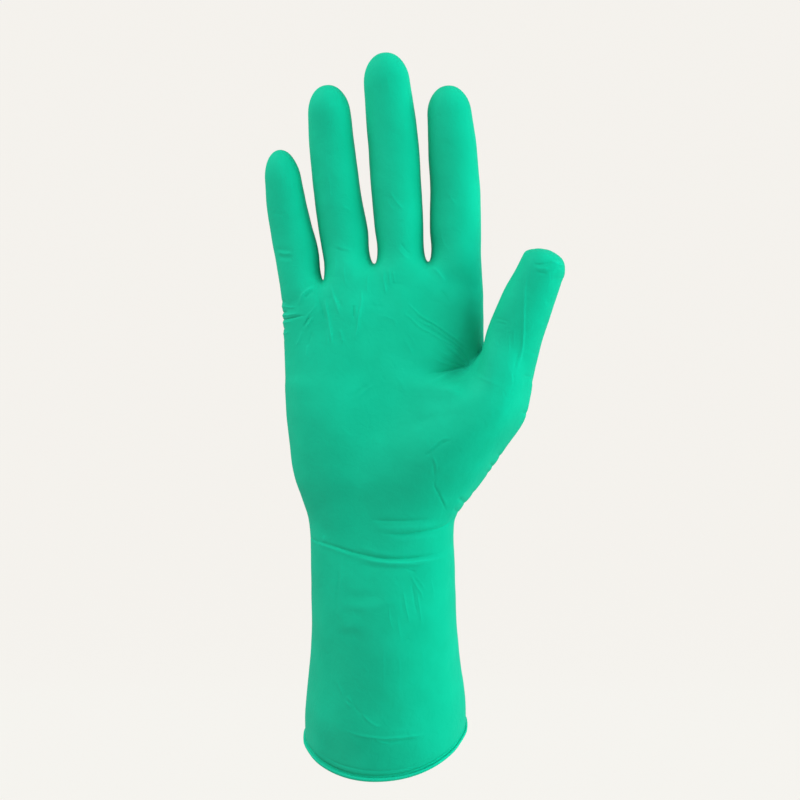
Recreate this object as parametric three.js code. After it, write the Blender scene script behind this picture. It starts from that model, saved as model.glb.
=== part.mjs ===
// A nitrile glove with a long cuff, in the form that it has on a raised right hand: palm forward, fingers up.
// Millimetres. +Z runs up the fingers, +X towards the thumb, and the palm faces -Y. The origin is the centre
// of the cuff's mouth, where the forearm goes in. The glove is one dipped film, so it is one closed solid: an
// outer wall, an inner wall one film thickness inside it, and the rolled bead that joins the two at the hem.

import * as THREE from "three";

const FILM = 1.2; // wall thickness
const BEAD_RADIUS = 1; // of the rolled hem
const BEAD_INSET = 0.3; // from the outer wall in to the middle of the roll
const FINGERS = 4; // beside the thumb: each has a strip of film on the palm and one on the back
const STRIP = 4; // mesh edges across the front of one finger, and across its back
const SIDE = 4; // mesh edges from front to back, round a side or over a web
const SIDE_DEPTH = 6.5; // half of the depth that the SIDE edges cover on the cuff and palm
const ROW_STEP = 6.4; // height between rows of the mesh
const FOLD_STEP = 1.7; // the same, across the wrist folds
const ROOT_STEP = 3; // height of the first row above a finger's root

// Sections of the cuff, wrist and palm, from the hem up. z is the height of the section's two sides, left and
// right their places, midLeft and midRight their depth. front and back are the depths either way from the
// line between the sides, and square is the exponent of the outline: 2 is an ellipse, and more is squarer.
const TRUNK = [
  { z: 5, left: -32, right: 31.5, midLeft: 0, midRight: 0, front: 25.2, back: 27, square: 2.1 },
  { z: 14, left: -31.7, right: 31.2, midLeft: -2.5, midRight: -3.5, front: 25.4, back: 26, square: 2.1 },
  { z: 28, left: -30.4, right: 29.4, midLeft: -6.5, midRight: -8, front: 24.8, back: 24, square: 2.1 },
  { z: 46, left: -29.2, right: 27.8, midLeft: -11.5, midRight: -13.5, front: 23.2, back: 22, square: 2.15 },
  { z: 60, left: -29.1, right: 27.2, midLeft: -15, midRight: -17.2, front: 21.6, back: 20.5, square: 2.2 },
  { z: 72, left: -29.1, right: 26.8, midLeft: -17.5, midRight: -20, front: 19.8, back: 19.3, square: 2.2 },
  { z: 80, left: -29.3, right: 26.4, midLeft: -19, midRight: -21.8, front: 18, back: 18.2, square: 2.25 },
  { z: 88, left: -30, right: 26.8, midLeft: -20, midRight: -23.6, front: 17.4, back: 17.2, square: 2.3 },
  { z: 96, left: -32.5, right: 32, midLeft: -21, midRight: -25.8, front: 17.8, back: 16.5, square: 2.4 },
  { z: 106, left: -35.8, right: 39.8, midLeft: -21.5, midRight: -28, front: 19.9, back: 15.8, square: 2.5 },
  { z: 117, left: -37.5, right: 47.2, midLeft: -21.5, midRight: -30.5, front: 22, back: 15, square: 2.6 },
  { z: 128, left: -38.6, right: 53.8, midLeft: -21.5, midRight: -32.5, front: 22.3, back: 14.6, square: 2.8 },
  { z: 140, left: -39.1, right: 56.2, midLeft: -21.5, midRight: -34, front: 21.2, back: 14.4, square: 3 },
];

// How the sections slant: dip is how far the front hangs below the sides, rise how far the back stands above
// them, and skew how much the right side stands above the left for each millimetre across.
const SLANTS = [
  { z: 5, dip: 16.8, rise: 7, skew: 0.075 },
  { z: 28, dip: 12.5, rise: 6.5, skew: 0.04 },
  { z: 46, dip: 10.5, rise: 6, skew: 0.01 },
  { z: 60, dip: 9.5, rise: 5.5, skew: 0 },
  { z: 72, dip: 8.5, rise: 5, skew: 0 },
  { z: 80, dip: 7, rise: 4, skew: 0 },
  { z: 96, dip: 3, rise: 2, skew: 0 },
  { z: 106, dip: 1, rise: 1, skew: 0 },
  { z: 117, dip: 0, rise: 0, skew: 0 },
  { z: 140, dip: 0, rise: 0, skew: 0 },
];

// Where the film starts to come forward to the thumb and where it has got there, as shares of the way from
// the middle to the right side: for the front by height, and for the back.
const FORWARD = [
  { z: 5, start: -1, end: 1 },
  { z: 80, start: -0.7, end: 0.9 },
  { z: 96, start: -0.4, end: 0.55 },
  { z: 106, start: -0.35, end: 0.5 },
  { z: 117, start: -0.2, end: 0.65 },
  { z: 128, start: 0, end: 0.85 },
  { z: 140, start: 0.12, end: 1 },
  { z: 185, start: 0.12, end: 1 },
];
const FORWARD_BACK = { start: 0.42, end: 1 };

// The palm above the thumb, in the columns of TRUNK.
const PALM = [
  { z: 140, left: -39.1, right: 37, midLeft: -21.5, midRight: -22, front: 21, back: 14.4, square: 2.5 },
  { z: 150, left: -39.3, right: 38.4, midLeft: -21.5, midRight: -22, front: 19.5, back: 14.4, square: 2.35 },
  { z: 165, left: -39.8, right: 38.1, midLeft: -21.5, midRight: -22, front: 16.8, back: 14.2, square: 2.2 },
  { z: 185, left: -40.6, right: 37.6, midLeft: -21.5, midRight: -22, front: 13.4, back: 13, square: 2.2 },
];

// Places across the glove where one finger's strip of film meets the next, by height. thumb is the place in
// front where the thumb's film begins, and thumbBehind the one on the back.
const SEAMS = [
  { z: 0, littleRing: -19.2, ringMiddle: -6.4, middleIndex: 6.4, thumb: 19.2, thumbBehind: 19.2 },
  { z: 72, littleRing: -17.8, ringMiddle: -6.6, middleIndex: 4.4, thumb: 15.4, thumbBehind: 16 },
  { z: 96, littleRing: -20, ringMiddle: -6.3, middleIndex: 7.5, thumb: 21, thumbBehind: 22.5 },
  { z: 120, littleRing: -21.8, ringMiddle: -5.4, middleIndex: 11, thumb: 28, thumbBehind: 32 },
  { z: 140, littleRing: -22.8, ringMiddle: -4.9, middleIndex: 13.5, thumb: 32, thumbBehind: 40 },
  { z: 182, littleRing: -24.5, ringMiddle: -4.3, middleIndex: 16.4, thumb: 35, thumbBehind: 40 },
];

// Fingers and thumb, each a round tube about a centre line, from root to the start of its tip. wide and deep
// are half sizes, and tip is how far the rounded end reaches past the last row: a quarter of an ellipse where
// blunt is 2, and squarer where it is more. blend is the length over which the root turns into a round tube,
// and turn is how far the tube's edges are turned round it, in degrees.
const DIGITS = {
  little: {
    blend: 9,
    tip: 13.5,
    blunt: 2,
    rows: [
      { z: 176, x: -32.8, y: -21.5, wide: 8, deep: 11.5 },
      { z: 186, x: -33.6, y: -21.3, wide: 8.8, deep: 9 },
      { z: 200, x: -36.8, y: -21, wide: 8.1, deep: 8.1 },
      { z: 210, x: -38.7, y: -21.8, wide: 7.8, deep: 7.7 },
      { z: 218, x: -39.7, y: -23, wide: 7.2, deep: 7.1 },
    ],
  },
  ring: {
    blend: 9,
    tip: 12.5,
    blunt: 2.1,
    rows: [
      { z: 181, x: -14.4, y: -21.8, wide: 9.6, deep: 12.6 },
      { z: 193, x: -15.3, y: -21.6, wide: 9.6, deep: 9.8 },
      { z: 212, x: -18.5, y: -22, wide: 9.1, deep: 9 },
      { z: 230, x: -20.7, y: -23.3, wide: 8.9, deep: 8.5 },
      { z: 244, x: -21.9, y: -25, wide: 8.3, deep: 7.7 },
    ],
  },
  middle: {
    blend: 9,
    tip: 13,
    blunt: 2.1,
    rows: [
      { z: 183, x: 6.2, y: -21.8, wide: 10.2, deep: 12.8 },
      { z: 198, x: 5.3, y: -22.2, wide: 9.5, deep: 10 },
      { z: 215, x: 4.3, y: -22.8, wide: 9.8, deep: 9.4 },
      { z: 236, x: 2.7, y: -24, wide: 9.8, deep: 8.8 },
      { z: 256, x: 0.5, y: -26, wide: 9, deep: 8 },
    ],
  },
  index: {
    blend: 9,
    tip: 12.5,
    blunt: 2.1,
    rows: [
      { z: 183, x: 27.3, y: -22, wide: 10, deep: 12.6 },
      { z: 197, x: 27, y: -21.6, wide: 10, deep: 9.9 },
      { z: 214, x: 26.9, y: -21.4, wide: 9.8, deep: 9.2 },
      { z: 230, x: 26.1, y: -22.6, wide: 9.5, deep: 8.5 },
      { z: 244, x: 24.9, y: -24.2, wide: 8.7, deep: 7.7 },
    ],
  },
  thumb: {
    blend: 18,
    turn: -30,
    tip: 11.5,
    blunt: 2.7,
    rows: [
      { z: 143, x: 43.6, y: -34.2, wide: 12.3, deep: 12.2 },
      { z: 152, x: 46.9, y: -37, wide: 11.3, deep: 11.4 },
      { z: 161, x: 50.3, y: -39.4, wide: 10.7, deep: 10.7 },
      { z: 171, x: 53.9, y: -41.4, wide: 10.2, deep: 10 },
      { z: 181, x: 58.4, y: -43, wide: 9.2, deep: 9 },
    ],
  },
};

// Webs between neighbouring fingers: an arch of film from front to back, whose highest point is top.
const WEBS = {
  littleRing: { top: 180.8 },
  ringMiddle: { top: 187.8 },
  middleIndex: { top: 188.4 },
};
const WEB_PEAK = 0.38; // share of the way from front to back at which a web is highest
const WEB_FRONT_DROP = 4.5;
const WEB_BACK_DROP = 9.5;
const OUTER_FRONT = { left: 171, right: 178 }; // heights of the outer corners of the finger roots, in front
const OUTER_BACK = { left: 166, right: 172 }; // and behind

// The web between thumb and palm, from its fold in the palm to its edge behind.
const THUMB_WEB = [
  { x: 31, y: -38, z: 145 },
  { x: 35.5, y: -34.5, z: 151.5 },
  { x: 40, y: -31, z: 155 },
  { x: 43, y: -26, z: 151.5 },
  { x: 40.5, y: -18.5, z: 141 },
];

// Soft mounds and hollows of the hand under the film: place, reach and height, positive outwards.
const MOUNDS = [
  { side: "front", x: 34, z: 108, reachX: 15, reachZ: 20, height: 1.8 }, // ball of the thumb
  { side: "front", x: 43, z: 130, reachX: 12, reachZ: 14, height: 2 },
  { side: "front", x: -24, z: 120, reachX: 13, reachZ: 24, height: 1.5 }, // heel under the little finger
  { side: "front", x: -2, z: 138, reachX: 16, reachZ: 18, height: -1.2 }, // hollow of the palm
  { side: "front", x: 31.5, z: 148.5, reachX: 6, reachZ: 7.5, height: -6.2 }, // fold beside the thumb
  { side: "front", x: 36, z: 163, reachX: 9, reachZ: 12, height: -0.6 },
  { side: "front", x: -32, z: 167, reachX: 7, reachZ: 7, height: 1 },
  { side: "front", x: -14, z: 170, reachX: 7, reachZ: 7, height: 1.2 },
  { side: "front", x: 6.5, z: 172, reachX: 7, reachZ: 7, height: 1.2 },
  { side: "front", x: 27, z: 169, reachX: 7, reachZ: 7, height: 1 },
  { side: "back", x: -31, z: 156, reachX: 6.5, reachZ: 8, height: 1.8 }, // knuckles
  { side: "back", x: -13, z: 162, reachX: 7, reachZ: 8, height: 2.2 },
  { side: "back", x: 7, z: 164, reachX: 7, reachZ: 8, height: 2.4 },
  { side: "back", x: 27, z: 160, reachX: 7, reachZ: 8, height: 2.2 },
  { side: "back", x: -18, z: 64, reachX: 8, reachZ: 9, height: 2.2 }, // wrist bone
];

// Folds of the film across the front of the wrist: the level of the fold on the TRUNK scale, where it starts
// and ends, and how far it stands out. A valley is negative.
const FOLDS = [
  { level: 78.2, from: -26, to: 30, height: 0.8 },
  { level: 81.5, from: -33, to: 31, height: -1.1 },
  { level: 85, from: -20, to: 30, height: 0.5 },
  { level: 88.8, from: -6, to: 32, height: -0.8 },
  { level: 92, from: -12, to: 26, height: 0.5 },
  { level: 95, from: -14, to: 24, height: -0.5 },
];
const FOLD_REACH = 1.6; // half width of a fold
const FOLD_FADE = 9; // length over which a fold dies away at its ends
const FOLD_BAND = { from: 75, to: 97 }; // levels where the rows lie FOLD_STEP apart

// How the film round the webs settles: all of it near a web, and less up to the far distance.
const RELAX_TURNS = 8;
const RELAX_SHARE = 0.5;
const RELAX_NEAR = 3;
const RELAX_FAR = 14;
const WEB_FREEDOM = 0.3; // of a web's own points
const EVEN_TURNS = 2;

const clamp = (v, low, high) => Math.min(high, Math.max(low, v));
const mix = (a, b, t) => a + (b - a) * t;
const ease = (t) => {
  const c = clamp(t, 0, 1);
  return c * c * (3 - 2 * c);
};

// One column of a table at height z, on a monotone cubic through its rows, straight past the ends.
function column(rows, key, z) {
  const slope = (i) => (rows[i + 1][key] - rows[i][key]) / (rows[i + 1].z - rows[i].z);
  const last = rows.length - 1;
  const tangent = (i) => {
    if (i === 0) return slope(0);
    if (i === last) return slope(last - 1);
    const below = slope(i - 1);
    const above = slope(i);
    return below * above <= 0 ? 0 : (2 * below * above) / (below + above);
  };
  if (z <= rows[0].z) return rows[0][key] + (z - rows[0].z) * tangent(0);
  if (z >= rows[last].z) return rows[last][key] + (z - rows[last].z) * tangent(last);
  const i = rows.findIndex((row, n) => z < rows[n + 1].z);
  const span = rows[i + 1].z - rows[i].z;
  const t = (z - rows[i].z) / span;
  const a = 2 * t ** 3 - 3 * t ** 2 + 1;
  const b = t ** 3 - 2 * t ** 2 + t;
  const c = -2 * t ** 3 + 3 * t ** 2;
  const d = t ** 3 - t ** 2;
  return a * rows[i][key] + b * span * tangent(i) + c * rows[i + 1][key] + d * span * tangent(i + 1);
}

function sectionAt(rows, z) {
  const section = { z };
  for (const table of [rows, SLANTS, FORWARD])
    for (const key of Object.keys(table[0])) if (key !== "z") section[key] = column(table, key, z);
  section.middle = (section.left + section.right) / 2;
  section.half = (section.right - section.left) / 2;
  return section;
}

// How deep a section is at x, as a share of its full depth: 1 in the middle and 0 at its sides.
function fullness(section, x) {
  const across = clamp(Math.abs(x - section.middle) / section.half, 0, 1);
  return (1 - across ** section.square) ** (1 / section.square);
}

// The depth of the line between a section's sides: level over the palm, and forward under the thumb.
function midDepth(section, x, out) {
  const reach = out < 0 ? section : FORWARD_BACK;
  const share = (x / section.right - reach.start) / (reach.end - reach.start);
  return mix(section.midLeft, section.midRight, ease(share));
}

function mound(side, x, z) {
  let sum = 0;
  for (const m of MOUNDS)
    if (m.side === side)
      sum += m.height * Math.exp(-(((x - m.x) / m.reachX) ** 2) - ((z - m.z) / m.reachZ) ** 2);
  return sum;
}

// How far a section's outline stands above its sides, for a place from -1, the front, to 1, the back.
function lift({ dip, rise }, place) {
  return ((rise + dip) / 2) * place + ((rise - dip) / 2) * place ** 2;
}

// A point on the front or back of a section at x.
function facePoint(section, side, x) {
  const full = fullness(section, x);
  const out = side === "front" ? -1 : 1;
  const depth = side === "front" ? section.front : section.back;
  const z = section.z + lift(section, out * full) + section.skew * x;
  const y = midDepth(section, x, out) + out * (depth * full + mound(side, x, z) * full);
  return new THREE.Vector3(x, y, z);
}

// A point on a section's left or right side, at a depth of share times SIDE_DEPTH: -1 is the front corner.
function sidePoint(section, hand, share) {
  const depth = share < 0 ? section.front : section.back;
  const full = (Math.abs(share) * SIDE_DEPTH) / depth;
  const across = (1 - full ** section.square) ** (1 / section.square);
  const x = section.middle + hand * section.half * across;
  const y = midDepth(section, x, share) + share * SIDE_DEPTH;
  return new THREE.Vector3(x, y, section.z + lift(section, Math.sign(share) * full) + section.skew * x);
}

// The values at the ends of the strips, with those at the places inside each strip put between them.
function spread(marks) {
  const last = marks.length - 1;
  const values = [];
  for (let strip = 0; strip < last; strip++)
    for (let i = 0; i < STRIP; i++) values.push(mix(marks[strip], marks[strip + 1], i / STRIP));
  return [...values, marks[last]];
}

// Places across one face of a section, between its left and right corners.
function innerPlaces(section, seams) {
  const corners = [-1, 1].map((hand) => sidePoint(section, hand, -1).x);
  return spread([corners[0], ...seams, corners[1]]).slice(1, -1);
}

// A ring of points round a section, seen from above anticlockwise from its left front corner.
function sectionRing(section, seams, seamsBehind = seams) {
  const ring = [sidePoint(section, -1, -1)];
  for (const x of innerPlaces(section, seams)) ring.push(facePoint(section, "front", x));
  for (let i = 0; i <= SIDE; i++) ring.push(sidePoint(section, 1, mix(-1, 1, i / SIDE)));
  for (const x of innerPlaces(section, seamsBehind).reverse()) ring.push(facePoint(section, "back", x));
  for (let i = 0; i < SIDE; i++) ring.push(sidePoint(section, -1, mix(1, -1, i / SIDE)));
  return ring;
}

// The mesh: points, each with its level where it is on the trunk, the points of the webs, and faces of four.
const points = [];
const level = [];
const webPoints = [];
const faces = [];

function addRing(ring, at = NaN) {
  return ring.map((point) => {
    points.push(point);
    level.push(at);
    return points.length - 1;
  });
}

function addWeb(arch) {
  const added = addRing(arch);
  webPoints.push(...added);
  return added;
}

function bridge(lower, upper) {
  lower.forEach((a, i) => {
    const next = (i + 1) % lower.length;
    faces.push([a, lower[next], upper[next], upper[i]]);
  });
}

function trunkLevels() {
  const levels = [];
  let z = TRUNK[0].z;
  while (z < TRUNK[TRUNK.length - 1].z - ROW_STEP / 2) {
    levels.push(z);
    z += z >= FOLD_BAND.from && z < FOLD_BAND.to ? FOLD_STEP : ROW_STEP;
  }
  return levels;
}

// Cuff, wrist and hand up to the thumb's root: returns its first ring, at the hem, and its last.
function buildTrunk() {
  const keys = ["littleRing", "ringMiddle", "middleIndex"];
  const seamsAt = (z, thumb) => [...keys, thumb].map((key) => column(SEAMS, key, z));
  const top = TRUNK[TRUNK.length - 1].z;
  const rings = [...trunkLevels(), top].map((z) =>
    addRing(sectionRing(sectionAt(TRUNK, z), seamsAt(z, "thumb"), seamsAt(z, "thumbBehind")), z),
  );
  for (let i = 0; i + 1 < rings.length; i++) bridge(rings[i], rings[i + 1]);
  return { hem: rings[0], top: rings[rings.length - 1] };
}

// Splits a ring between two strips: the ring left of a web and the ring right of it, which share the web.
function splitRing(ring, strips, web) {
  const frontAt = strips * STRIP;
  const backAt = ring.length - SIDE - frontAt;
  const left = [...ring.slice(0, frontAt + 1), ...web, ...ring.slice(backAt)];
  const right = [...ring.slice(frontAt, backAt + 1), ...[...web].reverse()];
  return { left, right };
}

// The palm above the thumb: rows of film from the thumb's web up to the roots of the fingers.
function buildPalm(root) {
  const keys = ["littleRing", "ringMiddle", "middleIndex"];
  const seamsAt = (z) => keys.map((key) => column(SEAMS, key, z));
  const heights = (outer, drop) => [outer.left, ...keys.map((key) => WEBS[key].top - drop), outer.right];
  const front = spread(heights(OUTER_FRONT, WEB_FRONT_DROP));
  const back = spread(heights(OUTER_BACK, WEB_BACK_DROP)).reverse();
  const turn = (from, to) => Array.from({ length: SIDE - 1 }, (_, i) => mix(from, to, (i + 1) / SIDE));
  const goal = [
    ...front,
    ...turn(front[front.length - 1], back[0]),
    ...back,
    ...turn(back[back.length - 1], front[0]),
  ];
  const start = root.map((index) => points[index].z);
  const steps = Math.round((WEBS.ringMiddle.top - PALM[0].z) / ROW_STEP);
  let below = root;
  for (let step = 1; step <= steps; step++) {
    const ring = goal.map((z, i) => {
      const height = mix(start[i], z, step / steps);
      return sectionRing(sectionAt(PALM, height), seamsAt(height))[i];
    });
    const added = addRing(ring);
    bridge(below, added);
    below = added;
  }
  return below;
}

// The arch of film between two neighbouring fingers, without its two ends.
function buildWeb(frontIndex, backIndex, top) {
  const front = points[frontIndex];
  const back = points[backIndex];
  const arch = [];
  for (let i = 1; i < SIDE; i++) {
    const t = i / SIDE;
    const drop =
      t < WEB_PEAK
        ? (top - front.z) * (1 - t / WEB_PEAK) ** 2
        : (top - back.z) * ((t - WEB_PEAK) / (1 - WEB_PEAK)) ** 2;
    arch.push(new THREE.Vector3(mix(front.x, back.x, t), mix(front.y, back.y, t), top - drop));
  }
  return addWeb(arch);
}

function digitFrame(rows, z) {
  const step = 0.5;
  const at = (h) => new THREE.Vector3(column(rows, "x", h), column(rows, "y", h), h);
  const along = at(z + step)
    .sub(at(z - step))
    .normalize();
  const back = new THREE.Vector3().crossVectors(along, new THREE.Vector3(1, 0, 0)).normalize();
  const right = new THREE.Vector3().crossVectors(back, along);
  return { centre: at(z), along, back, right };
}

const digitSides = 2 * STRIP + 2 * SIDE;
const digitAngle = (k, turn = 0) => ((225 + turn + (360 * k) / digitSides) * Math.PI) / 180;

function digitPoint(frame, wide, deep, across, behind, ahead) {
  return frame.centre
    .clone()
    .addScaledVector(frame.right, wide * across)
    .addScaledVector(frame.back, deep * behind)
    .addScaledVector(frame.along, ahead);
}

// A finger or thumb from the ring at its root: rows that turn from the root's shape into ovals, then the tip.
function buildDigit(root, digit) {
  const { rows, turn } = digit;
  const first = rows[0].z;
  const last = rows[rows.length - 1].z;
  const steps = Math.round((last - first - ROOT_STEP) / ROW_STEP);
  const rootPoints = root.map((index) => points[index].clone());
  const rootFrame = digitFrame(rows, first);
  let below = root;
  for (let step = 0; step <= steps; step++) {
    const z = mix(first + ROOT_STEP, last, step / steps);
    const frame = digitFrame(rows, z);
    const along = frame.centre.clone().sub(rootFrame.centre);
    const blend = ease((z - first + ROOT_STEP) / (digit.blend + ROOT_STEP));
    const ring = rootPoints.map((start, k) => {
      const oval = digitPoint(
        frame,
        column(rows, "wide", z),
        column(rows, "deep", z),
        Math.cos(digitAngle(k, turn)),
        Math.sin(digitAngle(k, turn)),
        0,
      );
      return start.clone().add(along).lerp(oval, blend);
    });
    const added = addRing(ring);
    bridge(below, added);
    below = added;
  }
  closeTip(below, digitFrame(rows, last), rows[rows.length - 1], digit);
}

// The rounded end: rings on half a blunt ellipsoid, then a square patch of faces over its pole.
function closeTip(root, frame, { wide, deep }, { tip, blunt, turn = 0 }) {
  const tipRings = 3;
  const patchAngle = (62 * Math.PI) / 180; // from the last full ring to the patch's edge, round the ellipsoid
  const power = 2 / blunt;
  let below = root;
  for (let step = 1; step <= tipRings; step++) {
    const angle = (patchAngle * step) / tipRings;
    const size = Math.cos(angle) ** power;
    const ahead = tip * Math.sin(angle) ** power;
    const added = addRing(
      root.map((_, k) =>
        digitPoint(
          frame,
          wide * size,
          deep * size,
          Math.cos(digitAngle(k, turn)),
          Math.sin(digitAngle(k, turn)),
          ahead,
        ),
      ),
    );
    bridge(below, added);
    below = added;
  }
  const rim = Math.cos(patchAngle) ** power;
  const grid = [];
  for (let row = 0; row <= SIDE; row++) {
    grid.push([]);
    for (let col = 0; col <= STRIP; col++) {
      const u = (2 * col) / STRIP - 1;
      const v = (2 * row) / SIDE - 1;
      const edge = row === 0 ? col : row === SIDE ? 2 * STRIP + SIDE - col : null;
      const flank = col === STRIP ? STRIP + row : col === 0 ? (digitSides - row) % digitSides : null;
      if (edge !== null || flank !== null) {
        grid[row].push(below[edge !== null ? edge : flank]);
        continue;
      }
      const out = rim * Math.max(Math.abs(u), Math.abs(v));
      const angle = squareAngle(u, v) + (turn * Math.PI) / 180;
      const ahead = tip * (1 - out ** blunt) ** (1 / blunt);
      const point = digitPoint(frame, wide, deep, out * Math.cos(angle), out * Math.sin(angle), ahead);
      grid[row].push(addRing([point])[0]);
    }
  }
  for (let row = 0; row < SIDE; row++)
    for (let col = 0; col < STRIP; col++)
      faces.push([grid[row][col], grid[row][col + 1], grid[row + 1][col + 1], grid[row + 1][col]]);
}

// The angle on a circle for a point on a square, so that equal steps on the square are equal steps round.
function squareAngle(u, v) {
  const eighth = Math.PI / 4;
  if (u === 0 && v === 0) return 0;
  if (Math.abs(u) >= Math.abs(v)) return u > 0 ? eighth * (v / u) : Math.PI + eighth * (v / u);
  return v > 0 ? 2 * eighth - eighth * (u / v) : -2 * eighth - eighth * (u / v);
}

function findNeighbours() {
  const neighbours = points.map(() => new Set());
  for (const face of faces)
    face.forEach((a, i) => {
      const b = face[(i + 1) % 4];
      neighbours[a].add(b);
      neighbours[b].add(a);
    });
  return neighbours;
}

// Lets the points round the webs settle between their neighbours, as stretched film does.
function relax(neighbours) {
  const webs = new Set(webPoints);
  const freedom = points.map((point, i) => {
    if (webs.has(i)) return WEB_FREEDOM;
    const near = Math.min(...webPoints.map((web) => points[web].distanceTo(point)));
    return 1 - ease((near - RELAX_NEAR) / (RELAX_FAR - RELAX_NEAR));
  });
  for (let turn = 0; turn < RELAX_TURNS; turn++) {
    const moved = points.map((point, i) => {
      if (!freedom[i]) return point;
      const mean = new THREE.Vector3();
      for (const n of neighbours[i]) mean.add(points[n]);
      mean.divideScalar(neighbours[i].size);
      return point.clone().lerp(mean, RELAX_SHARE * freedom[i]);
    });
    moved.forEach((point, i) => points[i].copy(point));
  }
}

function pointNormals() {
  const normals = points.map(() => new THREE.Vector3());
  for (const [a, b, c, d] of faces) {
    const one = points[c].clone().sub(points[a]);
    const other = points[d].clone().sub(points[b]);
    const normal = one.cross(other);
    for (const i of [a, b, c, d]) normals[i].add(normal);
  }
  return normals.map((n) => n.normalize());
}

// Normals that change gently from point to point, so that the inner wall keeps clear of the outer in folds.
function evenNormals(neighbours) {
  let normals = pointNormals();
  for (let turn = 0; turn < EVEN_TURNS; turn++)
    normals = normals.map((normal, i) => {
      const sum = normal.clone();
      for (const n of neighbours[i]) sum.addScaledVector(normals[n], 1 / neighbours[i].size);
      return sum.normalize();
    });
  return normals;
}

function foldHeight(at, x) {
  let sum = 0;
  for (const fold of FOLDS) {
    const ends = ease((x - fold.from) / FOLD_FADE) * ease((fold.to - x) / FOLD_FADE);
    sum += fold.height * ends * Math.exp(-(((at - fold.level) / FOLD_REACH) ** 2));
  }
  return sum;
}

function pressFolds() {
  const normals = pointNormals();
  points.forEach((point, i) => {
    if (Number.isNaN(level[i]) || normals[i].y >= 0) return;
    const facing = ease(-normals[i].y / 0.5);
    point.addScaledVector(normals[i], foldHeight(level[i], point.x) * facing);
  });
}

// The rolled bead: a circle of points carried round the hem, from the outer wall to the inner one.
function buildBead(hem, inner, normals) {
  const turns = [-55, -10, 35, 80, 125, 170];
  const count = hem.length;
  let above = hem;
  for (const degrees of turns) {
    const angle = (degrees * Math.PI) / 180;
    const ring = hem.map((index, i) => {
      const ahead = points[hem[(i + 1) % count]].clone().sub(points[hem[(i + count - 1) % count]]);
      const out = normals[index];
      const down = new THREE.Vector3().crossVectors(out, ahead.normalize()).negate().normalize();
      if (down.z > 0) down.negate();
      return points[index]
        .clone()
        .addScaledVector(out, BEAD_RADIUS * Math.cos(angle) - BEAD_INSET)
        .addScaledVector(down, BEAD_RADIUS * (1.15 + Math.sin(angle)));
    });
    const added = addRing(ring);
    bridge(added, above);
    above = added;
  }
  bridge(inner, above);
}

function buildGlove() {
  const trunk = buildTrunk();
  const curve = new THREE.CatmullRomCurve3(THUMB_WEB.map(({ x, y, z }) => new THREE.Vector3(x, y, z)));
  const webCurve = curve.getPoints(SIDE);
  points[trunk.top[FINGERS * STRIP]].copy(webCurve[0]);
  points[trunk.top[trunk.top.length - SIDE - FINGERS * STRIP]].copy(webCurve[SIDE]);
  const web = addWeb(webCurve.slice(1, -1));
  const { left: palmRoot, right: thumbRoot } = splitRing(trunk.top, FINGERS, web);
  let rest = buildPalm(palmRoot);
  buildDigit(thumbRoot, DIGITS.thumb);
  const names = ["little", "ring", "middle"];
  ["littleRing", "ringMiddle", "middleIndex"].forEach((key, i) => {
    const backAt = rest.length - SIDE - STRIP;
    const arch = buildWeb(rest[STRIP], rest[backAt], WEBS[key].top);
    const { left, right } = splitRing(rest, 1, arch);
    buildDigit(left, DIGITS[names[i]]);
    rest = right;
  });
  buildDigit(rest, DIGITS.index);
  const neighbours = findNeighbours();
  relax(neighbours);
  pressFolds();

  // The inner wall is the outer one moved in by the film's thickness, with its faces turned round.
  const normals = evenNormals(neighbours);
  const outerFaces = faces.slice();
  const outerCount = points.length;
  for (let i = 0; i < outerCount; i++) points.push(points[i].clone().addScaledVector(normals[i], -FILM));
  for (const face of outerFaces) faces.push(face.map((i) => i + outerCount).reverse());
  buildBead(trunk.hem, trunk.hem.map((i) => i + outerCount), normals);
}

// Two triangles for a four-sided face, cut along its shorter diagonal.
function cutFace([a, b, c, d]) {
  const first = points[a].distanceTo(points[c]);
  const second = points[b].distanceTo(points[d]);
  return first <= second ? [a, b, c, a, c, d] : [a, b, d, b, c, d];
}

buildGlove();

const geometry = new THREE.BufferGeometry();
const numbers = points.flatMap((point) => point.toArray());
geometry.setAttribute("position", new THREE.Float32BufferAttribute(numbers, 3));
geometry.setIndex(faces.flatMap(cutFace));
geometry.computeVertexNormals();

const nitrile = new THREE.MeshStandardMaterial({ color: 0x14be91, roughness: 0.5, metalness: 0 });
const glove = new THREE.Group();
const film = new THREE.Mesh(geometry, nitrile);
film.name = "glove_film";
glove.add(film);

export default glove;
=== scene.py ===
"""A long-cuffed nitrile glove, right-handed and upright, with its folds and its rolled hem.

The tables are in millimetres and MM turns them into metres. +Z runs up the fingers, +X towards the thumb,
and the palm faces -Y. The glove is one film: a cage of four-sided faces is worked out from the tables,
subdivided, and pressed into folds, and it goes round a rolled bead into the inner wall.
"""

import math

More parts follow.
